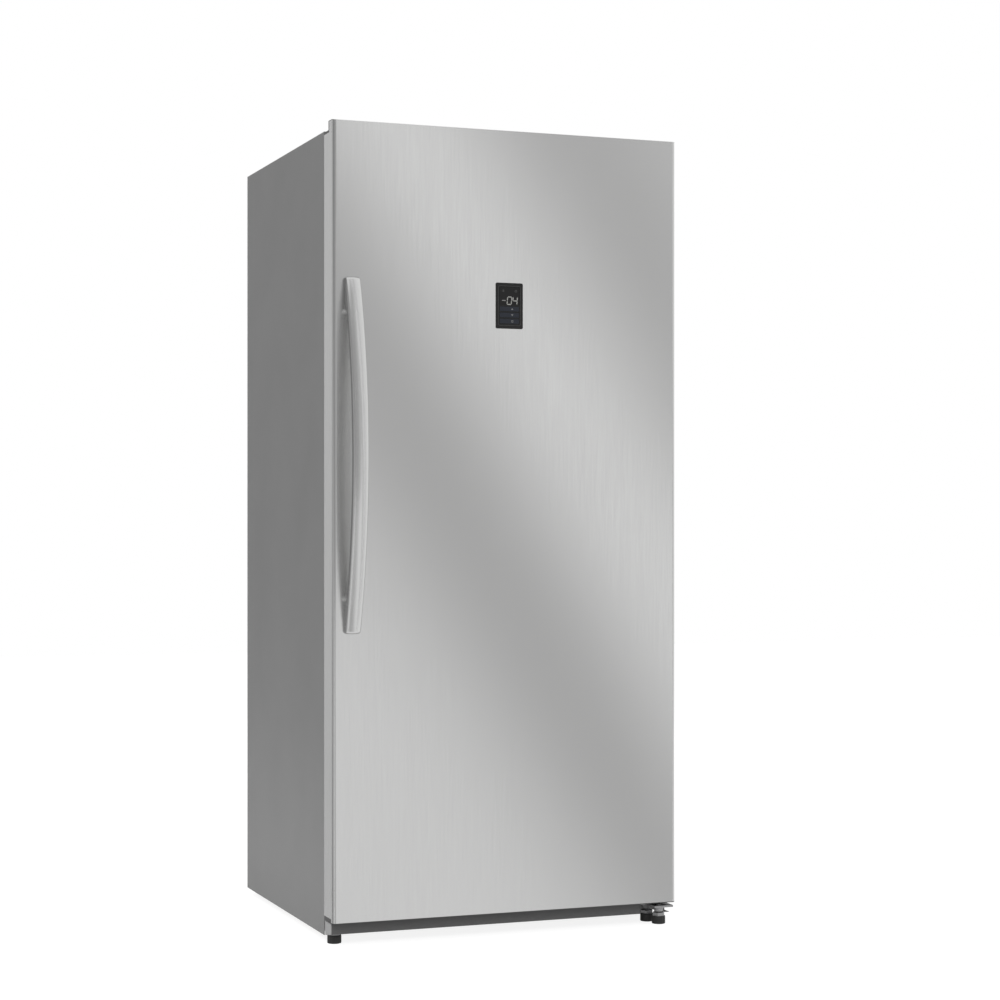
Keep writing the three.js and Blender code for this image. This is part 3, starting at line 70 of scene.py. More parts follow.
camera = bpy.data.objects.new("camera", bpy.data.cameras.new("camera"))
scene.collection.objects.link(camera)
camera.location = CAMERA_PLACE
camera.rotation_euler = Vector(CAMERA_AHEAD).to_track_quat("-Z", "Y").to_euler()
camera.data.sensor_width = CAMERA_SENSOR
camera.data.lens = CAMERA_LENS
camera.data.shift_y = CAMERA_SHIFT
camera.data.clip_end = 60
scene.camera = camera
scene.view_settings.view_transform = "Standard"


# ---- Materials ----
def set_input(tree, node, key, value):
    """Links a socket to the node's input, or gives the input a plain value."""
    if isinstance(value, bpy.types.NodeSocket):
        tree.links.new(value, node.inputs[key])
    else:
        node.inputs[key].default_value = value


def add_node(tree, kind, inputs=None, **settings):
    """A node with its settings; an input is a value, or a socket to link."""
    made = tree.nodes.new(kind)
    for key, value in settings.items():
        setattr(made, key, value)
    for key, value in (inputs or {}).items():
        set_input(tree, made, key, value)
    return made


class Look:
    """A Principled material, with the nodes that give it its detail."""

    def __init__(self, name, color, roughness, metallic=0.0, **uniform):
        self.material = bpy.data.materials.new(name)
        self.material.use_nodes = True
        self.tree = self.material.node_tree
        self.shader = self.tree.nodes["Principled BSDF"]
        self.color = color
        values = {"Base Color": (*color, 1), "Roughness": roughness, "Metallic": metallic, **uniform}
        for key, value in values.items():
            self.shader.inputs[key.replace("_", " ")].default_value = value
        self.place = self.node("ShaderNodeTexCoord").outputs["Object"]

    def node(self, kind, inputs=None, **settings):
        return add_node(self.tree, kind, inputs, **settings)

    def noise(self, scale, stretch=(1, 1, 1), detail=3.0):
        at = self.node("ShaderNodeMapping", {"Vector": self.place, "Scale": stretch}).outputs[0]
        return self.node("ShaderNodeTexNoise", {"Vector": at, "Scale": scale, "Detail": detail}).outputs[0]

    def cells(self, scale, feature="F1"):
        made = self.node("ShaderNodeTexVoronoi", {"Vector": self.place, "Scale": scale}, feature=feature)
        return made.outputs["Distance"]

    def spread(self, value, low, high, start=0.3, end=0.7):
        """low where value is at start or under, and high where it is at end or over."""
        inputs = {"Value": value, "From Min": start, "From Max": end, "To Min": low, "To Max": high}
        return self.node("ShaderNodeMapRange", inputs).outputs[0]

    def maths(self, operation, a, b=0.0):
        return self.node("ShaderNodeMath", {0: a, 1: b}, operation=operation).outputs[0]

    def mix(self, share, a, b):
        """Colour a where share is 0 and b where it is 1; a and b are sockets or (r, g, b)."""
        a, b = [(*c, 1) if isinstance(c, tuple) else c for c in (a, b)]
        made = self.node("ShaderNodeMix", {0: share, 6: a, 7: b}, data_type="RGBA")
        return made.outputs[2]

    def shade(self, value, factor):
        """The base colour times a factor where value is 1."""
        return self.mix(value, self.color, tuple(c * factor for c in self.color))

    def finish(self, base, gloss, height, distance, strength=1.0):
        """Sets the base colour, the roughness and a bump, and hands back the material."""
        inputs = {"Height": height, "Distance": distance, "Strength": strength}
        bump = self.node("ShaderNodeBump", inputs).outputs[0]
        for value, name in ((base, "Base Color"), (gloss, "Roughness"), (bump, "Normal")):
            set_input(self.tree, self.shader, name, value)
        return self.material


def grey(level, tint=(1, 1, 1)):
    """The linear colour of a level from 11 to 255, times a tint."""
    linear = ((level / 255 + 0.055) / 1.055) ** 2.4
    return tuple(linear * t for t in tint)


FINE_GRAIN = 0.85  # its share of the steel's streaks; the rest are broader ones
BROADER = 14
UNEVEN_GLOSS = 0.012
FACING = (0.8, 0.97)  # part of the normal along a direction: from where the painted shade or light starts to where it is full


def brushed_steel(name, level, roughness, streak=(900, 900, 14), side_painted_shade=1.0, rear_painted_light=1.0):
    """Stainless sheet or bar with an upright grain, faint hand marks and uneven gloss.

    The side factor is painted shade on faces that look along X or Z, and the rear factor painted light on
    faces that look along +Y.
    """
    look = Look(name, grey(level, (1, 1, 0.995)), roughness, 1.0, Anisotropic=0.45)
    fine = look.noise(1.0, streak, 2.0)
    broad = look.noise(1.0, tuple(s / BROADER for s in streak))
    smudge = look.noise(5.5, detail=4.0)
    shares = look.maths("MULTIPLY", fine, FINE_GRAIN), look.maths("MULTIPLY", broad, 1 - FINE_GRAIN)
    grain = look.maths("ADD", *shares)
    base = look.shade(look.spread(grain, 0, 1), 0.97)
    # Painted shade and light: flanks and ends are darkened, and the back that faces +Y is lightened.
    if side_painted_shade != 1.0:
        turned = look.node("ShaderNodeTexCoord").outputs["Normal"]
        facing = look.node("ShaderNodeSeparateXYZ", {0: turned}).outputs
        across, upright = look.maths("ABSOLUTE", facing[0]), look.maths("ABSOLUTE", facing[2])
        sideways = look.maths("MAXIMUM", across, upright)
        for way, tone in ((sideways, side_painted_shade), (facing[1], rear_painted_light)):
            base = look.mix(look.spread(way, 0, 1, *FACING), base, tuple(c * tone for c in look.color))
    gloss = look.spread(grain, roughness - UNEVEN_GLOSS, roughness + UNEVEN_GLOSS)
    marks = look.spread(smudge, 0.0, 0.01, 0.5, 0.75)
    tangent = look.node("ShaderNodeTangent", direction_type="RADIAL", axis="Z").outputs[0]
    set_input(look.tree, look.shader, "Tangent", tangent)
    return look.finish(base, look.maths("ADD", gloss, marks), fine, 0.00002, 0.08)


def painted_sheet(name, color, roughness):
    """Baked paint on sheet: orange peel and faint dust."""
    look = Look(name, color, roughness, Specular_IOR_Level=0.32)
    soft = look.noise(1.3, detail=2.0)
    speck = look.noise(1400, detail=1.0)
    tone = look.maths("ADD", look.spread(soft, 0, 0.5), look.spread(speck, 0, 0.5))
    gloss = look.spread(look.noise(6), roughness - 0.02, roughness + 0.03)
    return look.finish(look.shade(tone, 0.965), gloss, look.noise(520, detail=2.0), 0.00003)


def moulded_plastic(name, color, roughness, grain, depth, scuff, specular=0.5):
    """Moulded plastic: a spark-eroded grain with pores of a depth, and scuffs that scale its colour."""
    look = Look(name, color, roughness, Specular_IOR_Level=specular)
    pores = look.cells(grain)
    haze = look.noise(14, detail=5.0)
    scratch = look.noise(1.0, (60, 700, 60), 4.0)
    tone = look.maths("MULTIPLY", look.spread(haze, 0, 1), look.spread(scratch, 0.4, 1))
    gloss = look.spread(haze, roughness - 0.05, roughness + 0.07)
    return look.finish(look.shade(tone, scuff), gloss, pores, depth)


def zinc_sheet(name, level, roughness):
    """Galvanised steel: spangle of slightly different grains, dull patches and fine scratches."""
    look = Look(name, grey(level, (1, 1, 1.01)), roughness, 0.85)
    spangle = look.node("ShaderNodeTexVoronoi", {"Vector": look.place, "Scale": 170})
    leaf = look.node("ShaderNodeSeparateColor", {0: spangle.outputs["Color"]}).outputs[0]
    dull = look.noise(7, detail=5.0)
    gloss = look.maths("ADD", look.spread(leaf, 0, 0.05, 0, 1), look.spread(dull, 0, 0.12))
    gloss = look.maths("ADD", gloss, roughness - 0.1)
    base = look.shade(look.spread(leaf, 0, 1, 0, 1), 0.9)
    return look.finish(base, gloss, look.noise(700, (1, 0.08, 1)), 0.00002)


def satin_metal(name, color, roughness, metallic, dust=0.0):
    """Black stove paint or bare soft metal, with dust that lies on what faces up."""
    look = Look(name, color, roughness, metallic)
    patch = look.noise(38, detail=6.0)
    base = look.shade(look.spread(patch, 0, 1), 0.78)
    if dust:
        normal = look.node("ShaderNodeNewGeometry").outputs["Normal"]
        up = look.node("ShaderNodeSeparateXYZ", {0: normal}).outputs[2]
        lying = look.maths("MULTIPLY", look.spread(up, 0, dust, 0.2, 0.95), look.spread(patch, 0.4, 1))
        base = look.mix(lying, base, grey(128, (1, 0.98, 0.94)))
    gloss = look.spread(patch, roughness - 0.06, roughness + 0.1)
    return look.finish(base, gloss, look.noise(640, detail=2.0), 0.00003)


def clear_plastic(name, color, roughness):
    """Clear styrene, with a faint haze and the slow waves of a moulding."""
    look = Look(name, color, roughness, Transmission_Weight=0.93, IOR=1.49)
    haze = look.noise(22, detail=5.0)
    gloss = look.spread(haze, roughness, roughness + 0.08, 0.35, 0.75)
    base = look.shade(look.spread(haze, 0, 1), 0.96)
    return look.finish(base, gloss, look.noise(60, detail=2.0), 0.00015, 0.4)


COPPER, TARNISHED = (0.72, 0.36, 0.21), (0.28, 0.13, 0.08)


def copper_tube(name):
    """Drawn copper with patches of tarnish."""
    look = Look(name, COPPER, 0.3, 1.0)
    tarnish = look.spread(look.noise(45, detail=6.0), 0, 1, 0.42, 0.66)
    gloss = look.spread(tarnish, 0.24, 0.5, 0, 1)
    return look.finish(look.mix(tarnish, COPPER, TARNISHED), gloss, look.noise(900, detail=2.0), 0.00002)


def rigid_foam(name):
    """Yellow foam with fine closed cells."""
    roughness = 0.9
    look = Look(name, (0.82, 0.72, 0.42), roughness)
    base = look.shade(look.spread(look.noise(30, detail=5.0), 0, 1), 0.85)
    return look.finish(base, roughness, look.cells(900, "SMOOTH_F1"), 0.0002)


# The values of each look's function, after the name.
SURFACES = {
    # handle_steel's last two values are painted shade on its flanks and ends (0.7) and painted light on its
    # back (1.5).
    brushed_steel: {"door_steel": (203, 0.21), "handle_steel": (208, 0.26, (8000, 60, 9), 0.7, 1.5)},
    painted_sheet: {"cabinet_paint": (grey(118), 0.5), "base_paint": (grey(151), 0.5)},
    zinc_sheet: {"zinc": (196, 0.42), "hinge_zinc": (205, 0.38), "dull_zinc": (158, 0.5)},
    satin_metal: {"black_paint": (grey(44), 0.42, 0.0, 0.55), "alloy": (grey(205), 0.38, 1.0)},
    clear_plastic: {"clear": ((0.965, 0.98, 0.985), 0.05), "lens": ((0.97, 0.98, 0.98), 0.28)},
    copper_tube: {"copper": ()},
    rigid_foam: {"foam": ()},
    moulded_plastic: {
        "dark_plastic": (grey(62), 0.5, 1500, 0.00004, 1.12),
        "kick_plastic": (grey(84), 0.55, 1500, 0.00006, 1.12),
        "black_rubber": (grey(34), 0.72, 900, 0.0001, 1.6),
        "black_gloss": (grey(26), 0.2, 1200, 0.000006, 1.35, 0.2),
        "button_plastic": (grey(40, (0.82, 0.95, 1.3)), 0.36, 1400, 0.00002, 1.12, 0.22),
        "window": (grey(20), 0.12, 1200, 0.000002, 1.3, 0.18),
        "panel_line": (grey(62), 0.4, 1200, 0.00001, 1.12),
        "digit": (grey(150, (1, 1.0, 0.95)), 0.5, 1800, 0.00001, 0.9),
        "mark": (grey(118), 0.5, 1800, 0.00001, 0.9),
        "faint_mark": (grey(66), 0.5, 1800, 0.00001, 0.9),
        "white_plastic": (grey(232, (1, 1.0, 1.01)), 0.34, 700, 0.00003, 0.95),
        "coated_wire": (grey(236), 0.28, 500, 0.00004, 0.94),
        "gasket": (grey(150), 0.62, 1300, 0.00005, 0.9),
        "board": ((0.02, 0.10, 0.045), 0.4, 1100, 0.00002, 1.12),
    },
}
LOOKS = {name: make(name, *row) for make, rows in SURFACES.items() for name, row in rows.items()}


# ---- Mesh helpers ----
TURN = {"x": Matrix.Rotation(math.pi / 2, 3, "Y"), "y": Matrix.Rotation(-math.pi / 2, 3, "X")}  # from +Z


def piece(name, bm, look, like, stands_for=None, smooth=32):
    """Makes the object of a mesh, with a look, on the body of the CAD node that it is like."""
    bmesh.ops.recalc_face_normals(bm, faces=bm.faces)
    mesh = bpy.data.meshes.new(name)
    bm.to_mesh(mesh)
    bm.free()
    mesh.materials.append(LOOKS[look])
    mesh.shade_smooth()
    mesh.set_sharp_from_angle(angle=math.radians(smooth))
    made = bpy.data.objects.new(name, mesh)
    scene.collection.objects.link(made)
    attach(made, nodes[like]["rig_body"])
    if stands_for:
        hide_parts(*stands_for)
    return made


def angles_of(steps):
    """Evenly spaced angles round a circle."""
    return [2 * math.pi * i / steps for i in range(steps)]


def skin(bm, rings, closed=False):
    """Joins rings of points into a tube, with its ends capped unless it closes on itself."""
    rings = [[bm.verts.new(point) for point in points] for points in rings]
    pairs = list(zip(rings, rings[1:])) + ([(rings[-1], rings[0])] if closed else [])
    for one, two in pairs:
        count = max(len(one), len(two))
        for i in range(count):
            j = (i + 1) % count
            around = [one[i % len(one)], one[j % len(one)], two[j % len(two)], two[i % len(two)]]
            bm.faces.new(list(dict.fromkeys(around)))
    if not closed:
        for end in (rings[0], rings[-1]):
            if len(end) > 2:
                bm.faces.new(end)
    return bm


def lathe(bm, profile, origin, steps=32, shape=None):
    """Turns [(radius, height)] round an upright axis through origin; radius 0 closes an end.

    shape(radius, height, angle) may change the radius.
    """
    rings = []
    for radius, height in profile:
        points = []
        for angle in angles_of(steps if radius else 1):
            r = shape(radius, height, angle) if shape and radius else radius
            points.append(Vector(origin) + Vector((r * math.cos(angle), r * math.sin(angle), height)))
        rings.append(points)
    return skin(bm, rings)


def sweep(bm, path, section, closed=False):
    """Carries a closed section of (side, up) points along a path without twisting it."""
    path = [Vector(point) for point in path]
    rings, up = [], None
    for i, point in enumerate(path):
        before = path[i - 1] if closed or i else path[i]
        after = path[(i + 1) % len(path)] if closed or i < len(path) - 1 else path[i]
        ahead = (after - before).normalized()
        if up is None:
            up = Vector((0, 0, 1)) if abs(ahead.z) < 0.9 else Vector((0, 1, 0))
        up = (up - ahead * up.dot(ahead)).normalized()
        side = ahead.cross(up)
        rings.append([point + side * u + up * v for u, v in section])
    return skin(bm, rings, closed)


def ring(radius, steps=12):
    return [(radius * math.cos(angle), radius * math.sin(angle)) for angle in angles_of(steps)]


def turned_ring(bm, profile, middle, axis, steps):
    """Turns a closed profile [(radius, place along the axis)] round an axis through middle."""
    rings = []
    for radius, place in profile:
        rings.append([middle + TURN[axis] @ Vector((u, v, place)) for u, v in ring(radius, steps)])
    return skin(bm, rings, closed=True)


def rod(bm, start, end, radius, steps=10):
    """A straight round bar between two points."""
    return sweep(bm, [start, end], ring(radius, steps))


def rounded_loop(low, high, radius, steps=6):
    """Points of a rounded rectangle in two coordinates, anticlockwise."""
    out = []
    corners = [(high[0], low[1], -90), (high[0], high[1], 0), (low[0], high[1], 90), (low[0], low[1], 180)]
    for u, v, start in corners:
        cu = u - radius if u == high[0] else u + radius
        cv = v - radius if v == high[1] else v + radius
        for i in range(steps + 1):
            angle = math.radians(start + 90 * i / steps)
            out.append((cu + radius * math.cos(angle), cv + radius * math.sin(angle)))
    return out


def place_in(axis, u, v, depth):
    """The point with coordinates u and v across an axis and depth along it."""
    return {"x": (depth, u, v), "y": (u, depth, v), "z": (u, v, depth)}[axis]


def rectangle(axis, low, high, depth):
    """The corners of a rectangle that lies across an axis."""
    (u0, v0), (u1, v1) = low, high
    return [place_in(axis, u, v, depth) for u, v in ((u0, v0), (u1, v0), (u1, v1), (u0, v1))]


RIM_TURN = 0.3  # where, as a share of the chamfer, a slab's rim is broken once more


def slab(bm, loop, axis, low, high, chamfer=0.0):
    """A plate with the outline loop, from low to high along an axis; chamfer rounds its high rim."""
    middle = [sum(p[i] for p in loop) / len(loop) for i in (0, 1)]
    reach = [max(abs(p[i] - middle[i]) for p in loop) for i in (0, 1)]

    def level(depth, inset):
        shrunk = [[middle[i] + (p[i] - middle[i]) * (1 - inset / reach[i]) for i in (0, 1)] for p in loop]
        return [place_in(axis, u, v, depth) for u, v in shrunk]

    inward = chamfer if high > low else -chamfer
    rings = [level(low, 0), level(high - inward, 0)]
    if chamfer:
        rings += [level(high - RIM_TURN * inward, RIM_TURN * chamfer), level(high, chamfer)]
    return skin(bm, rings)


def inset_by(low, high, inset):
    """The low and high corners of a rectangle, moved in by inset."""
    return (low[0] + inset, low[1] + inset), (high[0] - inset, high[1] - inset)


def screw(bm, at, radius, height):
    """A pan head with a cross recess, standing on at and facing +Y."""
    count, steps = 10, 48
    half_width, reach, depth, crown = 0.11, 0.62, 0.8, 0.55  # shares of the head's radius and height

    def point(u, v, level):
        return Vector(at) + TURN["y"] @ Vector((radius * u, radius * v, level))

    rings = [[point(u, v, 0) for u, v in ring(1, steps)]]
    for k in range(count, 0, -1):
        share = k / count
        points = []
        for u, v in ring(share, steps):
            inside = min(abs(u), abs(v)) < half_width and share < reach
            points.append(point(u, v, height * (1 - crown * share**4 - (depth if inside else 0))))
        rings.append(points)
    rings.append([point(0, 0, height * (1 - depth))])
    return skin(bm, rings)


# An edge is rounded if it is sharp and its faces are wide enough against the radius.
SHARP_ANGLE, FLAT_ANGLE = math.radians(38), math.radians(0.6)
FACE_ROOM = 2.2


def rounded_copy(node, radii, look):
    """Stands for a CAD node: the same form with its edges rounded, widest radius first."""
    bm = bmesh.new()
    bm.from_mesh(nodes[node].data)
    bmesh.ops.remove_doubles(bm, verts=bm.verts, dist=1e-5)
    bmesh.ops.dissolve_limit(bm, angle_limit=FLAT_ANGLE, verts=bm.verts, edges=bm.edges)
    for radius, segments in radii:
        bm.normal_update()
        chosen = []
        for edge in bm.edges:
            if not edge.is_manifold or edge.calc_face_angle(0) < SHARP_ANGLE:
                continue
            length = max(edge.calc_length(), 1e-6)
            wide = all(face.calc_area() / length > FACE_ROOM * radius for face in edge.link_faces)
            if length > 2 * radius and wide:
                chosen.append(edge)
        rounding = {"offset": radius, "segments": segments, "profile": 0.5, "clamp_overlap": True}
        bmesh.ops.bevel(bm, geom=chosen, affect="EDGES", **rounding)
    made = piece(node + "_finish", bm, look, like=node, stands_for=[node])
    made.modifiers.new("shading", "WEIGHTED_NORMAL").keep_sharp = True
    return made


# ---- Cabinet and door shells ----
# Nodes that keep their form: their look, and the radii and segments of their rounded edges.
ROUNDED = {
    "side_panel_left": ("cabinet_paint", (0.002, 3)),
    "side_panel_right": ("cabinet_paint", (0.002, 3)),
    "top_panel": ("cabinet_paint", (0.0012, 2)),
    "inner_liner": ("white_plastic", (0.005, 3)),
    "door_skin": ("door_steel",),
    "door_liner": ("white_plastic", (0.006, 3)),
    "door_cap_top": ("dark_plastic", (0.0007, 2)),
    "door_cap_bottom": ("dark_plastic", (0.0007, 2)),
    "hinge_cover": ("dark_plastic", (0.0022, 3)),
    "top_hinge": ("hinge_zinc", (0.0006, 2)),
    "bottom_hinge": ("dull_zinc", (0.0007, 2)),
    "base_frame": ("base_paint", (0.0006, 1)),
    "kick_plate": ("kick_plastic", (0.0006, 2)),
    "basket": ("white_plastic", (0.0009, 2)),
    "basket_rail_left": ("white_plastic", (0.0008, 2)),
    "basket_rail_right": ("white_plastic", (0.0008, 2)),
    "evaporator_cover": ("white_plastic", (0.0006, 1)),
    "control_bezel": ("black_gloss", (0.0004, 2)),
    "cord_inlet": ("black_rubber", (0.0006, 2)),
    "drain_pan": ("dark_plastic", (0.0012, 2)),
    "condenser_fan_motor": ("black_paint", (0.0008, 1)),
    "evaporator_fan_motor": ("black_paint", (0.0008, 1)),
    **{f"door_bin_{i}": ("clear", (0.006, 3), (0.0008, 2)) for i in (1, 2, 3, 4)},
}
made_copies = {node: rounded_copy(node, radii, look) for node, (look, *radii) in ROUNDED.items()}

CAP_SLOPE = 0.009  # the cap rises over the skin's top edge along this depth
CAP_START = 0.0001  # how far under that edge it starts


def slope_cap(cap):
    """Slopes the top cap's front lip up from the skin's top edge."""
    low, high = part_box("door_skin")
    for vertex in cap.data.vertices:
        over = vertex.co.z - high.z
        if over > 0:
            vertex.co.z = high.z - CAP_START + over * min(1, (vertex.co.y - low.y) / CAP_SLOPE)


slope_cap(made_copies["door_cap_top"])

# CAD nodes that stay as they are, with a better material.
KEPT = {
    "cabinet_foam": "foam",
    "door_foam": "foam",
    "hinge_bush": "white_plastic",
    "handle_stud_low": "hinge_zinc",
    "handle_stud_high": "hinge_zinc",
    "control_board": "board",
    "drain_tube": "dark_plastic",
    "defrost_heater": "alloy",
    "refrigerant_line": "copper",
}
for node, look in KEPT.items():
    for slot_of_mesh in nodes[node].material_slots:
        slot_of_mesh.material = LOOKS[look]


# ---- Handle ----
HANDLE_END_REACH = 0.014  # from the door at the handle's ends
HANDLE_THICKNESS = 0.017
HANDLE_SEAT = 0.060
HANDLE_EDGE, HANDLE_REAR_EDGE = 0.005, 0.0012
HANDLE_LEAN = math.radians(29)  # of the crowned face where its rounded edges start
HANDLE_FILLET = 0.0136
CROWN_STEPS, EDGE_STEPS, BOW_STEPS = 8, 5, 22


def build_handle():
    """The bowed bar: two concentric arcs, filleted into a flat seat at either end."""
    low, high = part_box("handle")
    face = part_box("door_skin")[0].y
    middle = (low + high) / 2
    half_width, half = (high.x - low.x) / 2, (high.z - low.z) / 2
    reach, gap = face - low.y, face - high.y
    rise = reach - HANDLE_END_REACH
    outer = (half**2 + rise**2) / (2 * rise)

    def arc(radius, z):
        return reach - outer + math.sqrt(radius**2 - z**2)

    def rear(z):
        past = abs(z) - (half - HANDLE_SEAT - HANDLE_FILLET)
        share = min(max(past / HANDLE_FILLET, 0), 1)
        return gap + (arc(outer - HANDLE_THICKNESS, z) - gap) * math.sqrt(1 - share**2)

    def section(z, inset):
        wide, top, bottom = half_width - inset, arc(outer, z) - inset, rear(z)
        edge, rear_edge = HANDLE_EDGE, HANDLE_REAR_EDGE
        crowned = wide - edge * (1 - math.sin(HANDLE_LEAN))
        crown = crowned * math.tan(HANDLE_LEAN) / 2
        shares = [i / CROWN_STEPS for i in range(CROWN_STEPS + 1)]
        across = [(crowned * share, top - crown * share**2) for share in shares]
        turn = [HANDLE_LEAN + (math.pi / 2 - HANDLE_LEAN) * (i + 1) / EDGE_STEPS for i in range(EDGE_STEPS)]
        u, v = crowned - edge * math.sin(HANDLE_LEAN), top - crown - edge * math.cos(HANDLE_LEAN)
        side = [(u + edge * math.sin(a), v + edge * math.cos(a)) for a in turn]
        back = [(wide, bottom + rear_edge), (wide - rear_edge, bottom)]
        right = across + side + back
        left = [(-x, depth) for x, depth in reversed(right) if x > 0]
        return [(middle.x + x, face - depth, middle.z + z) for x, depth in right + left]

    turns = [math.radians(15 * i) for i in range(7)]
    end = [(half - HANDLE_EDGE * (1 - math.sin(a)), HANDLE_EDGE * (1 - math.cos(a))) for a in turns]
    foot, start = half - HANDLE_SEAT, half - HANDLE_SEAT - HANDLE_FILLET
    curve = [start + HANDLE_FILLET * math.sin(math.radians(10 * i)) for i in range(10)]
    bow = [start * i / BOW_STEPS for i in range(BOW_STEPS)]
    upper = [(z, 0) for z in bow + curve] + [(foot + HANDLE_SEAT / 3, 0)] + end
    levels = [(-z, inset) for z, inset in reversed(upper) if z > 0] + upper
    bm = skin(bmesh.new(), [section(z, inset) for z, inset in levels])
    piece("handle_bar", bm, "handle_steel", like="handle", stands_for=["handle"], smooth=50)


build_handle()

# ---- Control panel ----
DIGITS = "-04"
DIGIT_DROP = 0.0345  # panel's top edge to the digits' middle
SEGMENTS = {"-": "g", "0": "abcdef", "4": "bcfg"}
# Ends of a digit's segments, in half widths and half heights.
SEGMENT_ENDS = {
    "a": ((-1, 1), (1, 1)), "b": ((1, 1), (1, 0)), "c": ((1, 0), (1, -1)), "d": ((-1, -1), (1, -1)),
    "e": ((-1, 0), (-1, -1)), "f": ((-1, 1), (-1, 0)), "g": ((-1, 0), (1, 0)),
}
INK = 0.00012  # how thick printed marks are
BUTTONS = {"button_up": 1, "button_down": -1, "button_mode": 0}  # which way its arrow points; 0 is a ring


def flat_mark(bm, points, face):
    """A mark with the outline points (x, z), printed on a face that looks along -Y."""
    return slab(bm, points, "y", face + INK / 2, face - INK / 2)


def annulus(bm, x, z, inner, outer, face):
    """A printed ring."""
    low, high = face + INK / 2, face - INK / 2
    profile = [(inner, low), (outer, low), (outer, high), (inner, high)]
    return turned_ring(bm, profile, Vector((x, 0, z)), "y", 24)


def segment(bm, start, end, width, face):
    """A bar with pointed ends, such as one of a digit's."""
    ahead = (end - start).normalized() * width / 2
    side = Vector((-ahead.y, ahead.x))
    points = [start, start + ahead + side, end - ahead + side, end, end - ahead - side, start + ahead - side]
    flat_mark(bm, points, face)


def build_digits():
    """The generic figures in the display window."""
    low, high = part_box("display_window")
    half_width, half_height, pitch, stroke, gap, lean = 0.0044, 0.00725, 0.0116, 0.0019, 0.0003, 0.1
    middle_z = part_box("control_bezel")[1].z - DIGIT_DROP
    for i, sign in enumerate(DIGITS):
        bm = bmesh.new()
        middle_x = (low.x + high.x) / 2 + (i - (len(DIGITS) - 1) / 2) * pitch
        for name in SEGMENTS[sign]:
            ends = []
            for u, v in SEGMENT_ENDS[name]:
                x, z = u * half_width, v * half_height
                ends.append(Vector((middle_x + x + lean * z, middle_z + z)))
            shrink = (ends[1] - ends[0]).normalized() * gap
            segment(bm, ends[0] + shrink, ends[1] - shrink, stroke, low.y)
        look = "mark" if sign == "-" else "digit"
        piece(f"digit_{i + 1}", bm, look, like="display_window")


def build_window_signs():
    """A star and a ring over the digits."""
    low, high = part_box("display_window")
    drop, left, right, reach, stroke = 0.0075, 0.0085, 0.0075, 0.0028, 0.0008
    star = Vector((low.x + left, high.z - drop))
    bm = bmesh.new()
    for point in ring(reach, 12)[1:6:2]:
        arm = Vector(point)
        segment(bm, star - arm, star + arm, stroke, low.y)
    annulus(bm, high.x - right, star.y, 0.0015, 0.0024, low.y)
    piece("window_symbols", bm, "faint_mark", like="display_window")


def build_button(node, way):
    """A rounded button with an arrow or a ring."""
    low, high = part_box(node)
    shift, half, tip, base = 0.0058, 0.0024, 0.0018, 0.0015
    x, z = (low.x + high.x) / 2 + shift, (low.z + high.z) / 2
    bm = bmesh.new()
    if way:
        flat_mark(bm, [(x - half, z - base * way), (x + half, z - base * way), (x, z + tip * way)], low.y)
    else:
        annulus(bm, x, z, 0.0013, 0.0022, low.y)
    piece(node + "_mark", bm, "mark", like=node)
    rounded_copy(node, [(0.0005, 3)], "button_plastic")


def build_bezel_line():
    """The raised line round the panel."""
    low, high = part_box("control_bezel")
    u, v, corner, radius = 0.0050, 0.0062, 0.003, 0.00032
    loop = rounded_loop((low.x + u, low.z + v), (high.x - u, high.z - v), corner)
    bm = sweep(bmesh.new(), [(x, low.y, z) for x, z in loop], ring(radius, 8), closed=True)
    piece("bezel_line", bm, "panel_line", like="control_bezel")


build_digits()
build_window_signs()
for node, way in BUTTONS.items():
    build_button(node, way)
build_bezel_line()
rounded_copy("display_window", [(0.0003, 3)], "window")

# ---- Gasket ----
GASKET_WIDTH = 20
# Half of its section, as mm in from the edge and share of the depth: a snap-in base, bellows and a pocket.
GASKET_HALF = [
    (0.9, 0.0), (0.3, 0.14), (2.4, 0.34), (0.8, 0.5), (2.0, 0.64), (0.3, 0.8), (0.7, 0.96), (4.5, 1.0),
    (6.2, 0.92),
]


def build_gasket():
    """A magnetic gasket, with mitred corners."""
    low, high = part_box("door_gasket")
    other_half = [(GASKET_WIDTH - inset, share) for inset, share in GASKET_HALF]
    rings = []
    for inset, share in other_half + GASKET_HALF[::-1]:
        ends = inset_by((low.x, low.z), (high.x, high.z), inset / 1000)
        rings.append(rectangle("y", *ends, low.y + share * (high.y - low.y)))
    bm = skin(bmesh.new(), rings, closed=True)
    piece("gasket_bellows", bm, "gasket", like="door_gasket", stands_for=["door_gasket"], smooth=50)


build_gasket()


# ---- Base, feet and rollers ----
def build_base_sheets():
    """Gussets that slope down to the cabinet's sides, and the plate behind the right foot."""
    low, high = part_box("base_frame")
    side_low, kick_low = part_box("side_panel_left")[0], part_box("kick_plate")[0]
    rise, insets, chamfer = 0.0008, (0.0003, 0.0027), 0.0005
    top = kick_low.z + rise
    outline = [(low.y, kick_low.z), (side_low.y, side_low.z), (side_low.y, top), (low.y, top)]
    for name, edge, way in (("left", low.x, 1), ("right", high.x, -1)):
        near, far = [edge + way * inset for inset in insets]
        bm = slab(bmesh.new(), outline, "x", near, far, chamfer)
        piece("base_lip_" + name, bm, "base_paint", like="base_frame", smooth=50)
    overlap, gap, corner, thickness = 0.004, 0.0005, 0.003, 0.003
    start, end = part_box("kick_plate")[1].x - overlap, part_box("side_panel_right")[0].x - gap
    outline = rounded_loop((start, side_low.z), (end, high.z), corner)
    bm = slab(bmesh.new(), outline, "y", side_low.y + thickness, side_low.y, chamfer)
    piece("base_notch_plate", bm, "base_paint", like="base_frame", smooth=50)


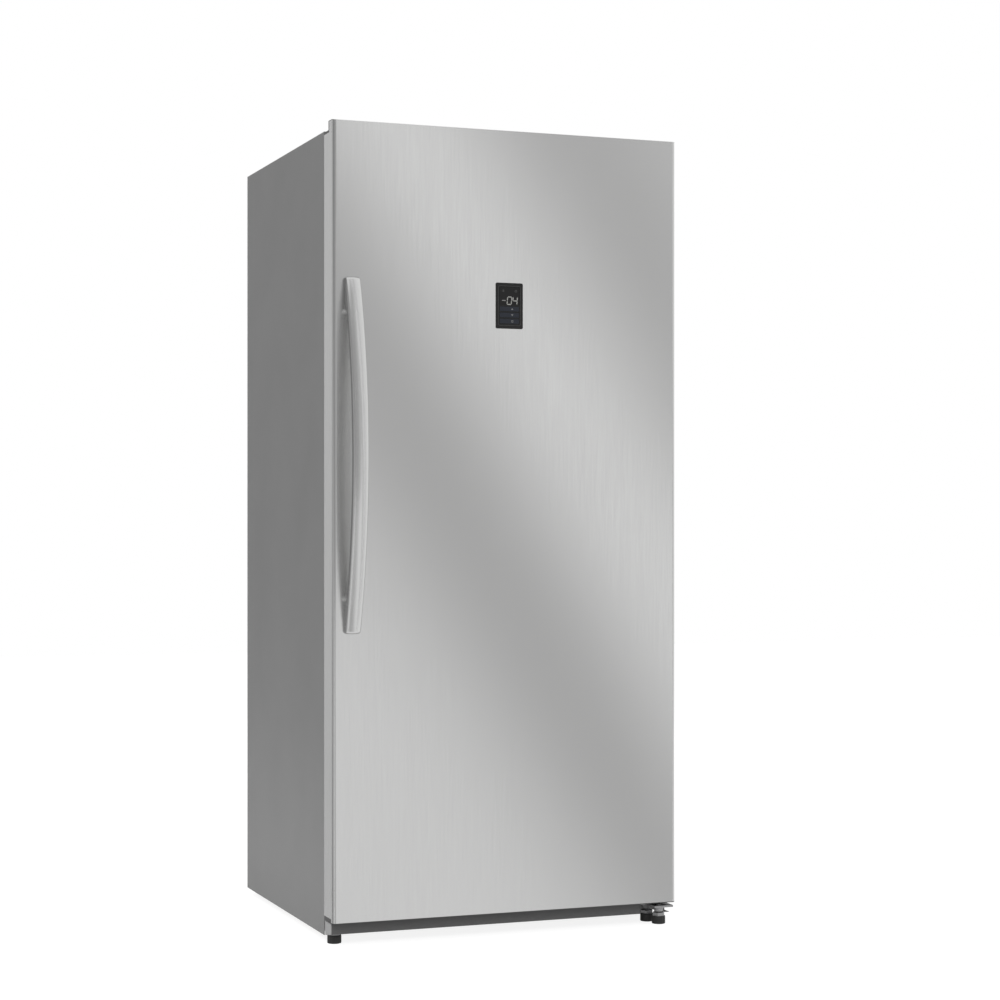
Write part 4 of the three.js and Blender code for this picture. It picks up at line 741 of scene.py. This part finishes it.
FOOT_PAD, FOOT_NUT = 0.016, 0.0225  # heights of their tops
FOOT_FLUTES, FLUTE_DEPTH = 16, 0.0007
FLUTE_ENDS = (0.0025, 0.0145)
THREAD_RADIUS, THREAD_PITCH, THREAD_DEPTH, THREAD_LEVELS = 0.005, 0.00175, 0.0005, 96


def fluted(radius, height, angle):
    grip = max(0, math.cos(FOOT_FLUTES * angle)) if FLUTE_ENDS[0] < height < FLUTE_ENDS[1] else 0
    return radius - FLUTE_DEPTH * grip


def threaded(radius, height, angle):
    return radius - THREAD_DEPTH * (1 + math.cos(2 * math.pi * height / THREAD_PITCH - angle)) / 2


def build_foot(node):
    """A levelling foot: a moulded pad with grips round it, on a threaded stud with a nut."""
    low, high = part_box(node)
    middle, radius = (low + high) / 2, (high.x - low.x) / 2
    at = (middle.x, middle.y, low.z)
    sole = [(0, 0), (radius - 0.0015, 0), (radius - 0.0004, 0.0004), (radius, 0.0015), (radius, 0.0028)]
    crown = [(radius, FOOT_PAD - 0.0019), (radius - 0.0006, FOOT_PAD - 0.0006), (radius - 0.002, FOOT_PAD)]
    bm = lathe(bmesh.new(), [*sole, *crown, (0.0072, FOOT_PAD), (0, FOOT_PAD)], at, steps=96, shape=fluted)
    piece(node + "_pad", bm, "black_rubber", like=node, stands_for=[node], smooth=50)

    start, end = FOOT_PAD - 0.001, high.z - low.z
    thread = [(THREAD_RADIUS, start + (end - start) * i / THREAD_LEVELS) for i in range(THREAD_LEVELS + 1)]
    bm = lathe(bmesh.new(), [(0, start), *thread, (0, end)], at, steps=24, shape=threaded)
    corner = radius - 0.0008
    nut = [(0, FOOT_PAD), (corner, FOOT_PAD), (corner, FOOT_NUT - 0.0006), (corner - 0.001, FOOT_NUT)]
    lathe(bm, [*nut, (0, FOOT_NUT)], at, steps=6)
    piece(node + "_stud", bm, "dull_zinc", like=node, smooth=24)


def build_roller(node):
    """A wheel with a bore, and a recess between its hub and its rounded rim on both sides."""
    low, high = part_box(node)
    middle = (low + high) / 2
    radius, side = (high.z - low.z) / 2, (low.x - high.x) / 2
    bore, hub, draft, edge, rim, recess = 0.0043, 0.0078, 0.0008, 0.0018, radius - 0.0034, side + 0.0035
    half = [(bore, side), (hub, side), (hub + draft, recess), (rim - draft, recess), (rim, side + 0.0004)]
    half += [(radius - edge, side), (radius - 0.0005, side + 0.0006), (radius, side + edge)]
    profile = half + [(r, -place) for r, place in reversed(half)]
    bm = turned_ring(bmesh.new(), profile, middle, "x", 48)
    piece(node + "_wheel", bm, "dark_plastic", like=node, stands_for=[node])


build_base_sheets()
for node in ("foot_left", "foot_right", "foot_hinge"):
    build_foot(node)
for node in ("roller_left", "roller_right"):
    build_roller(node)


# ---- Shelves, lamp ----
def build_shelf(node):
    """A coated wire shelf: a round frame, wires from front to back and rods across under them."""
    low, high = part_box(node)
    corner, wires, wire_radius, rod_radius = 0.014, 27, 0.0018, 0.0022
    radius, z = (high.z - low.z) / 2, (low.z + high.z) / 2
    over, under = z + 0.0017, z - 0.0014
    (x0, y0), (x1, y1) = inset_by((low.x, low.y), (high.x, high.y), radius)
    loop = rounded_loop((x0, y0), (x1, y1), corner)
    bm = sweep(bmesh.new(), [(x, y, z) for x, y in loop], ring(radius, 14), closed=True)
    for i in range(wires):
        x = x0 + (i + 1) * (x1 - x0) / (wires + 1)
        rod(bm, (x, y0, over), (x, y1, over), wire_radius)
    for share in (0.2, 0.5, 0.8):
        y = y0 + share * (y1 - y0)
        rod(bm, (x0, y, under), (x1, y, under), rod_radius)
    piece(node + "_wires", bm, "coated_wire", like=node, stands_for=[node], smooth=50)


def build_lens():
    """The lamp's cover, with prismatic ribs underneath."""
    low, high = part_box("interior_lamp")
    corner, chamfer, face, z = 0.008, 0.003, low.z + 0.0012, low.z + 0.0014
    ribs, radius, side, end = 19, 0.0013, 0.010, 0.006
    loop = rounded_loop((low.x, low.y), (high.x, high.y), corner)
    bm = slab(bmesh.new(), loop, "z", high.z, face, chamfer)
    for i in range(ribs):
        x = low.x + side + i * (high.x - low.x - 2 * side) / (ribs - 1)
        rod(bm, (x, low.y + end, z), (x, high.y - end, z), radius, 8)
    piece("lamp_lens", bm, "lens", like="interior_lamp", stands_for=["interior_lamp"], smooth=50)


for i in (1, 2, 3, 4):
    build_shelf(f"shelf_{i}")
build_lens()

# ---- Back of the cabinet ----
BEAD = 0.00055  # how far beads and screw heads stand out of the rear sheets
BEAD_CORNER, BEAD_ROOT = 0.02, 0.0001  # the corners' radius, and how deep a bead starts in its sheet
SCREW_INSET, SCREW_RADIUS = 0.011, 0.0042


def rear_sheet(node, look, beads, screws):
    """A rear sheet set in by the height of its beads, so that they end where the CAD sheet does.

    A bead is a frame with low and high corners (x, z) and a width; a screw is its place (x, z).
    """
    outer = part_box(node)[1].y
    face, root = outer - BEAD, outer - BEAD - BEAD_ROOT
    made = rounded_copy(node, [], look)
    for vertex in made.data.vertices:
        if vertex.co.y > outer - 0.0002:
            vertex.co.y = face
    bm = bmesh.new()
    for low, high, width in beads:
        rings = []
        for share, depth in ((0, root), (0.3, outer), (0.7, outer), (1, root)):
            loop = rounded_loop(*inset_by(low, high, share * width), BEAD_CORNER, 8)
            rings.append([place_in("y", x, z, depth) for x, z in loop])
        skin(bm, rings, closed=True)
    piece(node + "_beads", bm, look, like=node, smooth=50)
    bm = bmesh.new()
    for x, z in screws:
        screw(bm, (x, face, z), SCREW_RADIUS, BEAD)
    piece(node + "_screws", bm, "hinge_zinc", like=node, smooth=40)


def build_rear():
    """The rear panel with three beads, and the machine room's cover with one."""
    low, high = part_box("rear_panel")
    count, side, gap, end, width, rows = 3, 0.03, 0.012, 0.045, 0.014, 6
    pitch = (high.x - low.x - 2 * side) / count
    beads = []
    for i in range(count):
        x = low.x + side + i * pitch
        beads.append(((x + gap, low.z + end), (x + pitch - gap, high.z - end), width))
    foot, tall = low.z + SCREW_INSET, high.z - low.z - 2 * SCREW_INSET
    levels = [foot + tall * i / (rows - 1) for i in range(rows)]
    screws = [(x, z) for x in (low.x + SCREW_INSET, high.x - SCREW_INSET) for z in levels]
    rear_sheet("rear_panel", "zinc", beads, screws)

    low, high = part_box("machine_cover")
    side, foot, head, width, screw_drop = 0.022, 0.03, 0.012, 0.008, 0.006
    bead = (low.x + side, low.z + foot), (high.x - side, high.z - head), width
    row, top = low.z + SCREW_INSET, high.z - screw_drop
    screws = [(x, z) for x in (low.x + SCREW_INSET, high.x - SCREW_INSET) for z in (row, top)]
    rear_sheet("machine_cover", "zinc", [bead], screws + [(0, row)])


def build_louvres():
    """A bent vane behind each slot of the machine cover."""
    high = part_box("machine_cover")[1]
    face, turns = high.y - BEAD, [math.radians(15 * k) for k in range(6)]
    count, spacing, slot_height, half_slot, gap, drop = 7, 0.018, 0.006, 0.074, 0.028, 0.030
    depth, height, sheet = 0.0034, 0.0062, 0.0005
    bm = bmesh.new()
    for side in (-1, 1):
        middle = side * (half_slot + gap / 2)
        for i in range(count):
            top = high.z - drop - i * spacing + slot_height
            outside = [(face - depth * (1 - math.cos(a)), top - height * math.sin(a)) for a in turns]
            section = outside + [(y - sheet, z) for y, z in reversed(outside)]
            skin(bm, [[(x, y, z) for y, z in section] for x in (middle - half_slot, middle + half_slot)])
    piece("machine_cover_vanes", bm, "zinc", like="machine_cover", smooth=50)


build_rear()
build_louvres()

# ---- Cooling ----
FIN, END_PLATE = 0.0003, 0.0009  # thicknesses
COIL_MARGIN = 0.002  # past the end plates
TUBE_RADIUS = 0.0042
BEND_TURNS = [math.radians(turn) for turn in (30, 60, 90, 120, 150)]


def build_coil(node, look, fin_pitch, levels, rows, lift):
    """Fins between two taller end plates, and a bent tube through them in each row."""
    low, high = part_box(node)
    start, end, bottom = low.x + COIL_MARGIN, high.x - COIL_MARGIN, low.z + lift
    count = round((end - start) / fin_pitch)
    bm = bmesh.new()
    for i in range(count + 1):
        x = start + i * (end - start) / count
        half, foot = (END_PLATE / 2, low.z) if i in (0, count) else (FIN / 2, bottom)
        loop = [(low.y, foot), (high.y, foot), (high.y, high.z), (low.y, high.z)]
        slab(bm, loop, "x", x - half, x + half)
    piece(node + "_fins", bm, look, like=node, stands_for=[node])
    bm = bmesh.new()
    step = (high.z - bottom) / levels
    for row in range(rows):
        y = low.y + (row + 0.5) * (high.y - low.y) / rows
        path = []
        for k in range(levels):
            z, way = bottom + (k + 0.5) * step, 1 if k % 2 == 0 else -1
            near, far = (low.x, high.x)[::way]
            path += [(near, y, z), (far, y, z)]
            for turn in BEND_TURNS if k < levels - 1 else []:
                out, up = step / 2 * math.sin(turn), step / 2 * (1 - math.cos(turn))
                path.append((far + way * out, y, z + up))
        sweep(bm, path, ring(TUBE_RADIUS, 10))
    piece(node + "_tubes", bm, look, like=node, smooth=50)


FAN_HUB, FAN_BORE = 0.25, 0.0033  # hub as a share of the wheel's radius
BLADES, BLADE_STEPS = 5, 8


def blade_rings(middle, turn, radius, half):
    """Sections across a blade from its root to its tip; turn takes +Z to the fan's axis."""
    root, tip, camber, half_thick = 0.9 * FAN_HUB * radius, 0.985 * radius, 0.1 * half, 0.0007
    rings = []
    for i in range(BLADE_STEPS + 1):
        up = i / BLADE_STEPS
        out, swept = root + (tip - root) * up, 0.35 * up**1.5
        spread, pitch = 0.86 - 0.12 * up, 0.72 * half * (1 - 0.35 * up)
        front, back = [], []
        for j in range(BLADE_STEPS + 1):
            share = 2 * j / BLADE_STEPS - 1
            angle = swept + share * spread / 2
            lift = share * pitch + camber * (1 - share**2)
            thick = half_thick * math.sqrt(max(1 - share**2, 0.04))
            for points, level in ((front, lift + thick), (back, lift - thick)):
                local = Vector((out * math.cos(angle), out * math.sin(angle), level))
                points.append(middle + turn @ local)
        rings.append(front + back[::-1])
    return rings


def build_fan(node, axis, look):
    """Swept and twisted blades on a cupped hub, round the fan's joint."""
    low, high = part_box(node)
    index = "xyz".index(axis)
    across = [k for k in range(3) if k != index]
    middle = (low + high) / 2
    joint = next(j for j in frame["record"]["behaviour"]["joints"] if j["child"] == nodes[node]["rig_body"])
    for k in across:
        middle[k] = joint["pos_m"][k]
    radius = max(max(high[k] - middle[k], middle[k] - low[k]) for k in across)
    half, hub = (high[index] - low[index]) / 2, FAN_HUB * radius
    profile = [(FAN_BORE, -half), (hub - 0.002, -half), (hub, -half + 0.002)]
    profile += [(hub, half - 0.003), (hub - 0.003, half), (FAN_BORE, half)]
    bm = turned_ring(bmesh.new(), profile, middle, axis, 40)
    for angle in angles_of(BLADES):
        skin(bm, blade_rings(middle, TURN[axis] @ Matrix.Rotation(angle, 3, "Z"), radius, half))
    piece(node + "_wheel", bm, look, like=node, stands_for=[node], smooth=45)


# The compressor's shell, as (radius, height) in shares of its own.
SHELL = [
    (0, 0), (0.55, 0), (0.78, 0.03), (0.93, 0.12), (0.985, 0.24), (0.985, 0.46), (1.0, 0.465), (1.0, 0.49),
    (0.965, 0.495), (0.96, 0.72), (0.9, 0.84), (0.74, 0.94), (0.45, 0.99), (0, 1),
]
GROMMET = [
    (0, 0), (0.009, 0), (0.009, 0.005), (0.0065, 0.0065), (0.0065, 0.0085), (0.0088, 0.0095),
    (0.0088, 0.0145), (0.007, 0.0175), (0, 0.0175),
]
STUB = [(0, 0), (0.016, 0), (0.022, 0.006), (0.022, 0.03)]  # how far its tube goes out and up


def build_compressor():
    """A welded shell in two cups on a pressed base, with grommets, a terminal cover and its stub tubes."""
    low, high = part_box("compressor")
    mount, sheet, corner, chamfer = 0.006, 0.003, 0.012, 0.0008
    middle, bottom = (low + high) / 2, low.z + mount
    r, h = 0.4 * (high.x - low.x), high.z - bottom
    at = Vector((middle.x, middle.y, bottom))
    bm = lathe(bmesh.new(), [(r * u, h * v) for u, v in SHELL], at, steps=72)
    loop = rounded_loop((low.x, middle.y - 0.75 * r), (high.x, middle.y + 0.75 * r), corner)
    slab(bm, loop, "z", bottom, bottom + sheet, chamfer)
    piece("compressor_shell", bm, "black_paint", like="compressor", stands_for=["compressor"], smooth=40)

    bm = bmesh.new()
    for x in (middle.x - 1.1 * r, middle.x + 1.1 * r):
        for y in (middle.y - 0.6 * r, middle.y + 0.6 * r):
            lathe(bm, GROMMET, (x, y, low.z))
    wide, corner, chamfer = 0.024, 0.006, 0.004
    loop = rounded_loop((middle.y - wide, bottom + 0.4 * h), (middle.y + wide, bottom + 0.78 * h), corner)
    slab(bm, loop, "x", middle.x - 0.8 * r, middle.x - 1.2 * r, chamfer)
    piece("compressor_fittings", bm, "black_rubber", like="compressor", smooth=40)

    bm = bmesh.new()
    for turn in (-60, 150):
        angle = math.radians(turn)
        outward = Vector((math.cos(angle), math.sin(angle), 0))
        start = at + outward * 0.93 * r + Vector((0, 0, 0.62 * h))
        sweep(bm, [start + outward * out + Vector((0, 0, up)) for out, up in STUB], ring(0.0032, 12))
    piece("compressor_stubs", bm, "copper", like="compressor", smooth=50)


build_coil("evaporator_coil", "alloy", fin_pitch=0.0065, levels=12, rows=1, lift=0.09)
build_coil("condenser_coil", "black_paint", fin_pitch=0.006, levels=6, rows=3, lift=0.035)
build_fan("evaporator_fan_blade", "y", "white_plastic")
build_fan("condenser_fan_blade", "x", "dark_plastic")
build_compressor()


# ---- Light and backdrop ----
def lamp(name, place, target, size, power):
    """An area lamp, size (wide, high), that is only seen by what it lights."""
    data = bpy.data.lights.new(name, "AREA")
    data.shape, data.size, data.size_y, data.energy = "RECTANGLE", size[0], size[1], power
    made = bpy.data.objects.new(name, data)
    made.location = place
    made.rotation_euler = (Vector(target) - Vector(place)).to_track_quat("-Z", "Y").to_euler()
    made.visible_glossy = False
    made.visible_camera = False
    scene.collection.objects.link(made)


lamp("key", place=(-2.6, -3.6, 3.4), target=(0, 0, 0.8), size=(2.4, 2.4), power=70)
lamp("fill", place=(3.4, -3.0, 2.2), target=(0, 0, 0.8), size=(2.4, 2.4), power=28)
lamp("back", place=(0.5, 4.2, 2.6), target=(0, 0, 0.9), size=(2.6, 2.0), power=55)
# Close to the floor beside the cabinet, for the light that the floor throws on its side's foot.
lamp("low", place=(-0.8, 0.1, 0.06), target=(-0.3, 0.1, 0.06), size=(1.1, 0.08), power=1.25)


def either(tree, one, two):
    """1 for a ray of one kind or the other."""
    return add_node(tree, "ShaderNodeMath", {0: one, 1: two}, operation="MAXIMUM").outputs[0]


def between(tree, share, low, high):
    """low where share is 0 and high where it is 1."""
    return add_node(tree, "ShaderNodeMapRange", {"Value": share, "To Min": low, "To Max": high}).outputs[0]


def build_world():
    """A white room, a little darker for the rays that only bring light."""
    world = bpy.data.worlds.new("studio")
    scene.world = world
    world.use_nodes = True
    tree = world.node_tree
    rays = add_node(tree, "ShaderNodeLightPath").outputs
    shiny = either(tree, rays["Is Glossy Ray"], rays["Is Transmission Ray"])
    strength = between(tree, either(tree, rays["Is Camera Ray"], shiny), 0.72, 1.0)
    background = tree.nodes["Background"]
    background.inputs["Color"].default_value = (1, 1, 1, 1)
    tree.links.new(strength, background.inputs["Strength"])


def stage_object(name, bm):
    """An object for the light or the backdrop, and the empty node tree of its material."""
    mesh = bpy.data.meshes.new(name)
    bm.to_mesh(mesh)
    bm.free()
    made = bpy.data.objects.new(name, mesh)
    scene.collection.objects.link(made)
    material = bpy.data.materials.new(name)
    material.use_nodes = True
    material.node_tree.nodes.clear()
    mesh.materials.append(material)
    return made, material.node_tree


def build_floor():
    """A white floor. Seen directly it is lifted to white, and it keeps the object's shadow."""
    bm = bmesh.new()
    bmesh.ops.create_grid(bm, x_segments=8, y_segments=8, size=9)
    floor, tree = stage_object("floor", bm)
    rays = add_node(tree, "ShaderNodeLightPath").outputs
    seen = either(tree, rays["Is Camera Ray"], rays["Is Glossy Ray"])
    diffuse = add_node(tree, "ShaderNodeBsdfDiffuse", {"Color": between(tree, seen, 0.78, 0.26)})
    lift = add_node(tree, "ShaderNodeEmission", {"Strength": between(tree, seen, 0.0, 0.86)})
    both = add_node(tree, "ShaderNodeAddShader", {0: diffuse.outputs[0], 1: lift.outputs[0]})
    add_node(tree, "ShaderNodeOutputMaterial", {"Surface": both.outputs[0]})
    floor.visible_glossy = False


build_world()
build_floor()

# ---- Reflected cards: softboxes that only metal and gloss see ----
# Level of the front card against the door's reflected place: height plus SLOPE times width, in door sizes.
FRONT_LEVELS = [
    (-1.2, 0.5), (-0.5, 0.7), (-0.1, 0.98), (0.45, 1.0), (0.8, 0.37), (1.13, 1.32), (1.49, 0.42), (1.75, 0.8),
    (2.2, 0.95), (3.0, 0.9),
]
FRONT_SLOPE = 0.74
FRONT_CARD_Y = -2.4
FRONT_CARD_REACH = ((-2, -0.8), (3, 2))  # its corners, in door sizes from the door's reflected corner
# Level of the side card against its place along Y: dark beside the door's rounded edge.
SIDE_LEVELS = [
    (-4.5, 0.42), (-1.9, 0.3), (-1.1, 0.3), (-0.5, 0.55), (0.2, 0.64), (1.0, 0.66), (2.4, 0.42), (11.0, 0.3),
]
SIDE_WEIGHTS = (0, 1, -1.2, 1.44)
SIDE_CARD_X = -3.2
SIDE_CARD_CORNERS = ((-2.4, -2.6), (9.0, 4.0))
# The card that the handle's left half mirrors: level against X, just in front of the front card.
HANDLE_LEVELS = [(-3.2, 0.44), (-1.2, 0.44), (-0.8, 0.52), (0.0, 0.72)]
HANDLE_CARD_Y = -2.38
HANDLE_CARD_CORNERS = ((-3.2, 0.55), (0.0, 3.2))


def card(name, corners, weights, levels):
    """An emitting plate that only glossy rays see.

    Its level is a curve over x, y and z times the first three weights plus the last one.
    """
    bm = bmesh.new()
    bm.faces.new([bm.verts.new(corner) for corner in corners])
    made, tree = stage_object(name, bm)
    place = add_node(tree, "ShaderNodeTexCoord").outputs["Object"]
    along = add_node(tree, "ShaderNodeVectorMath", {0: place, 1: weights[:3]}, operation="DOT_PRODUCT")
    low, high = levels[0][0], levels[-1][0]
    ends = {"From Min": low - weights[3], "From Max": high - weights[3]}
    share = add_node(tree, "ShaderNodeMapRange", {"Value": along.outputs["Value"], **ends}).outputs[0]
    ramp = add_node(tree, "ShaderNodeValToRGB", {0: share})
    ramp.color_ramp.interpolation = "EASE"
    elements = ramp.color_ramp.elements
    while len(elements) < len(levels):
        elements.new(0.5)
    for element, (at, level) in zip(elements, levels):
        element.position = (at - low) / (high - low)
        element.color = (level, level, level, 1)
    emit = add_node(tree, "ShaderNodeEmission", {"Color": ramp.outputs[0]})
    add_node(tree, "ShaderNodeOutputMaterial", {"Surface": emit.outputs[0]})
    made.visible_camera = False
    made.visible_diffuse = False
    made.visible_shadow = False
    made.visible_transmission = False


def build_cards():
    """The front card lies where the camera sees it in the door; the others are for the sides and handle."""
    low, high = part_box("door_skin")
    eye = camera.location
    mirrored_eye = 2 * low.y - eye.y
    grow = (mirrored_eye - FRONT_CARD_Y) / (mirrored_eye - low.y)
    corner = eye + (low - eye) * grow
    width, height = (high.x - low.x) * grow, (high.z - low.z) * grow
    ends = [(corner.x + u * width, corner.z + v * height) for u, v in FRONT_CARD_REACH]
    offset = -FRONT_SLOPE * corner.x / width - corner.z / height
    weights = (FRONT_SLOPE / width, 0, 1 / height, offset)
    card("front_card", rectangle("y", *ends, FRONT_CARD_Y), weights, FRONT_LEVELS)
    card("side_card", rectangle("x", *SIDE_CARD_CORNERS, SIDE_CARD_X), SIDE_WEIGHTS, SIDE_LEVELS)
    corners = rectangle("y", *HANDLE_CARD_CORNERS, HANDLE_CARD_Y)
    card("handle_card", corners, (1, 0, 0, 0), HANDLE_LEVELS)


build_cards()
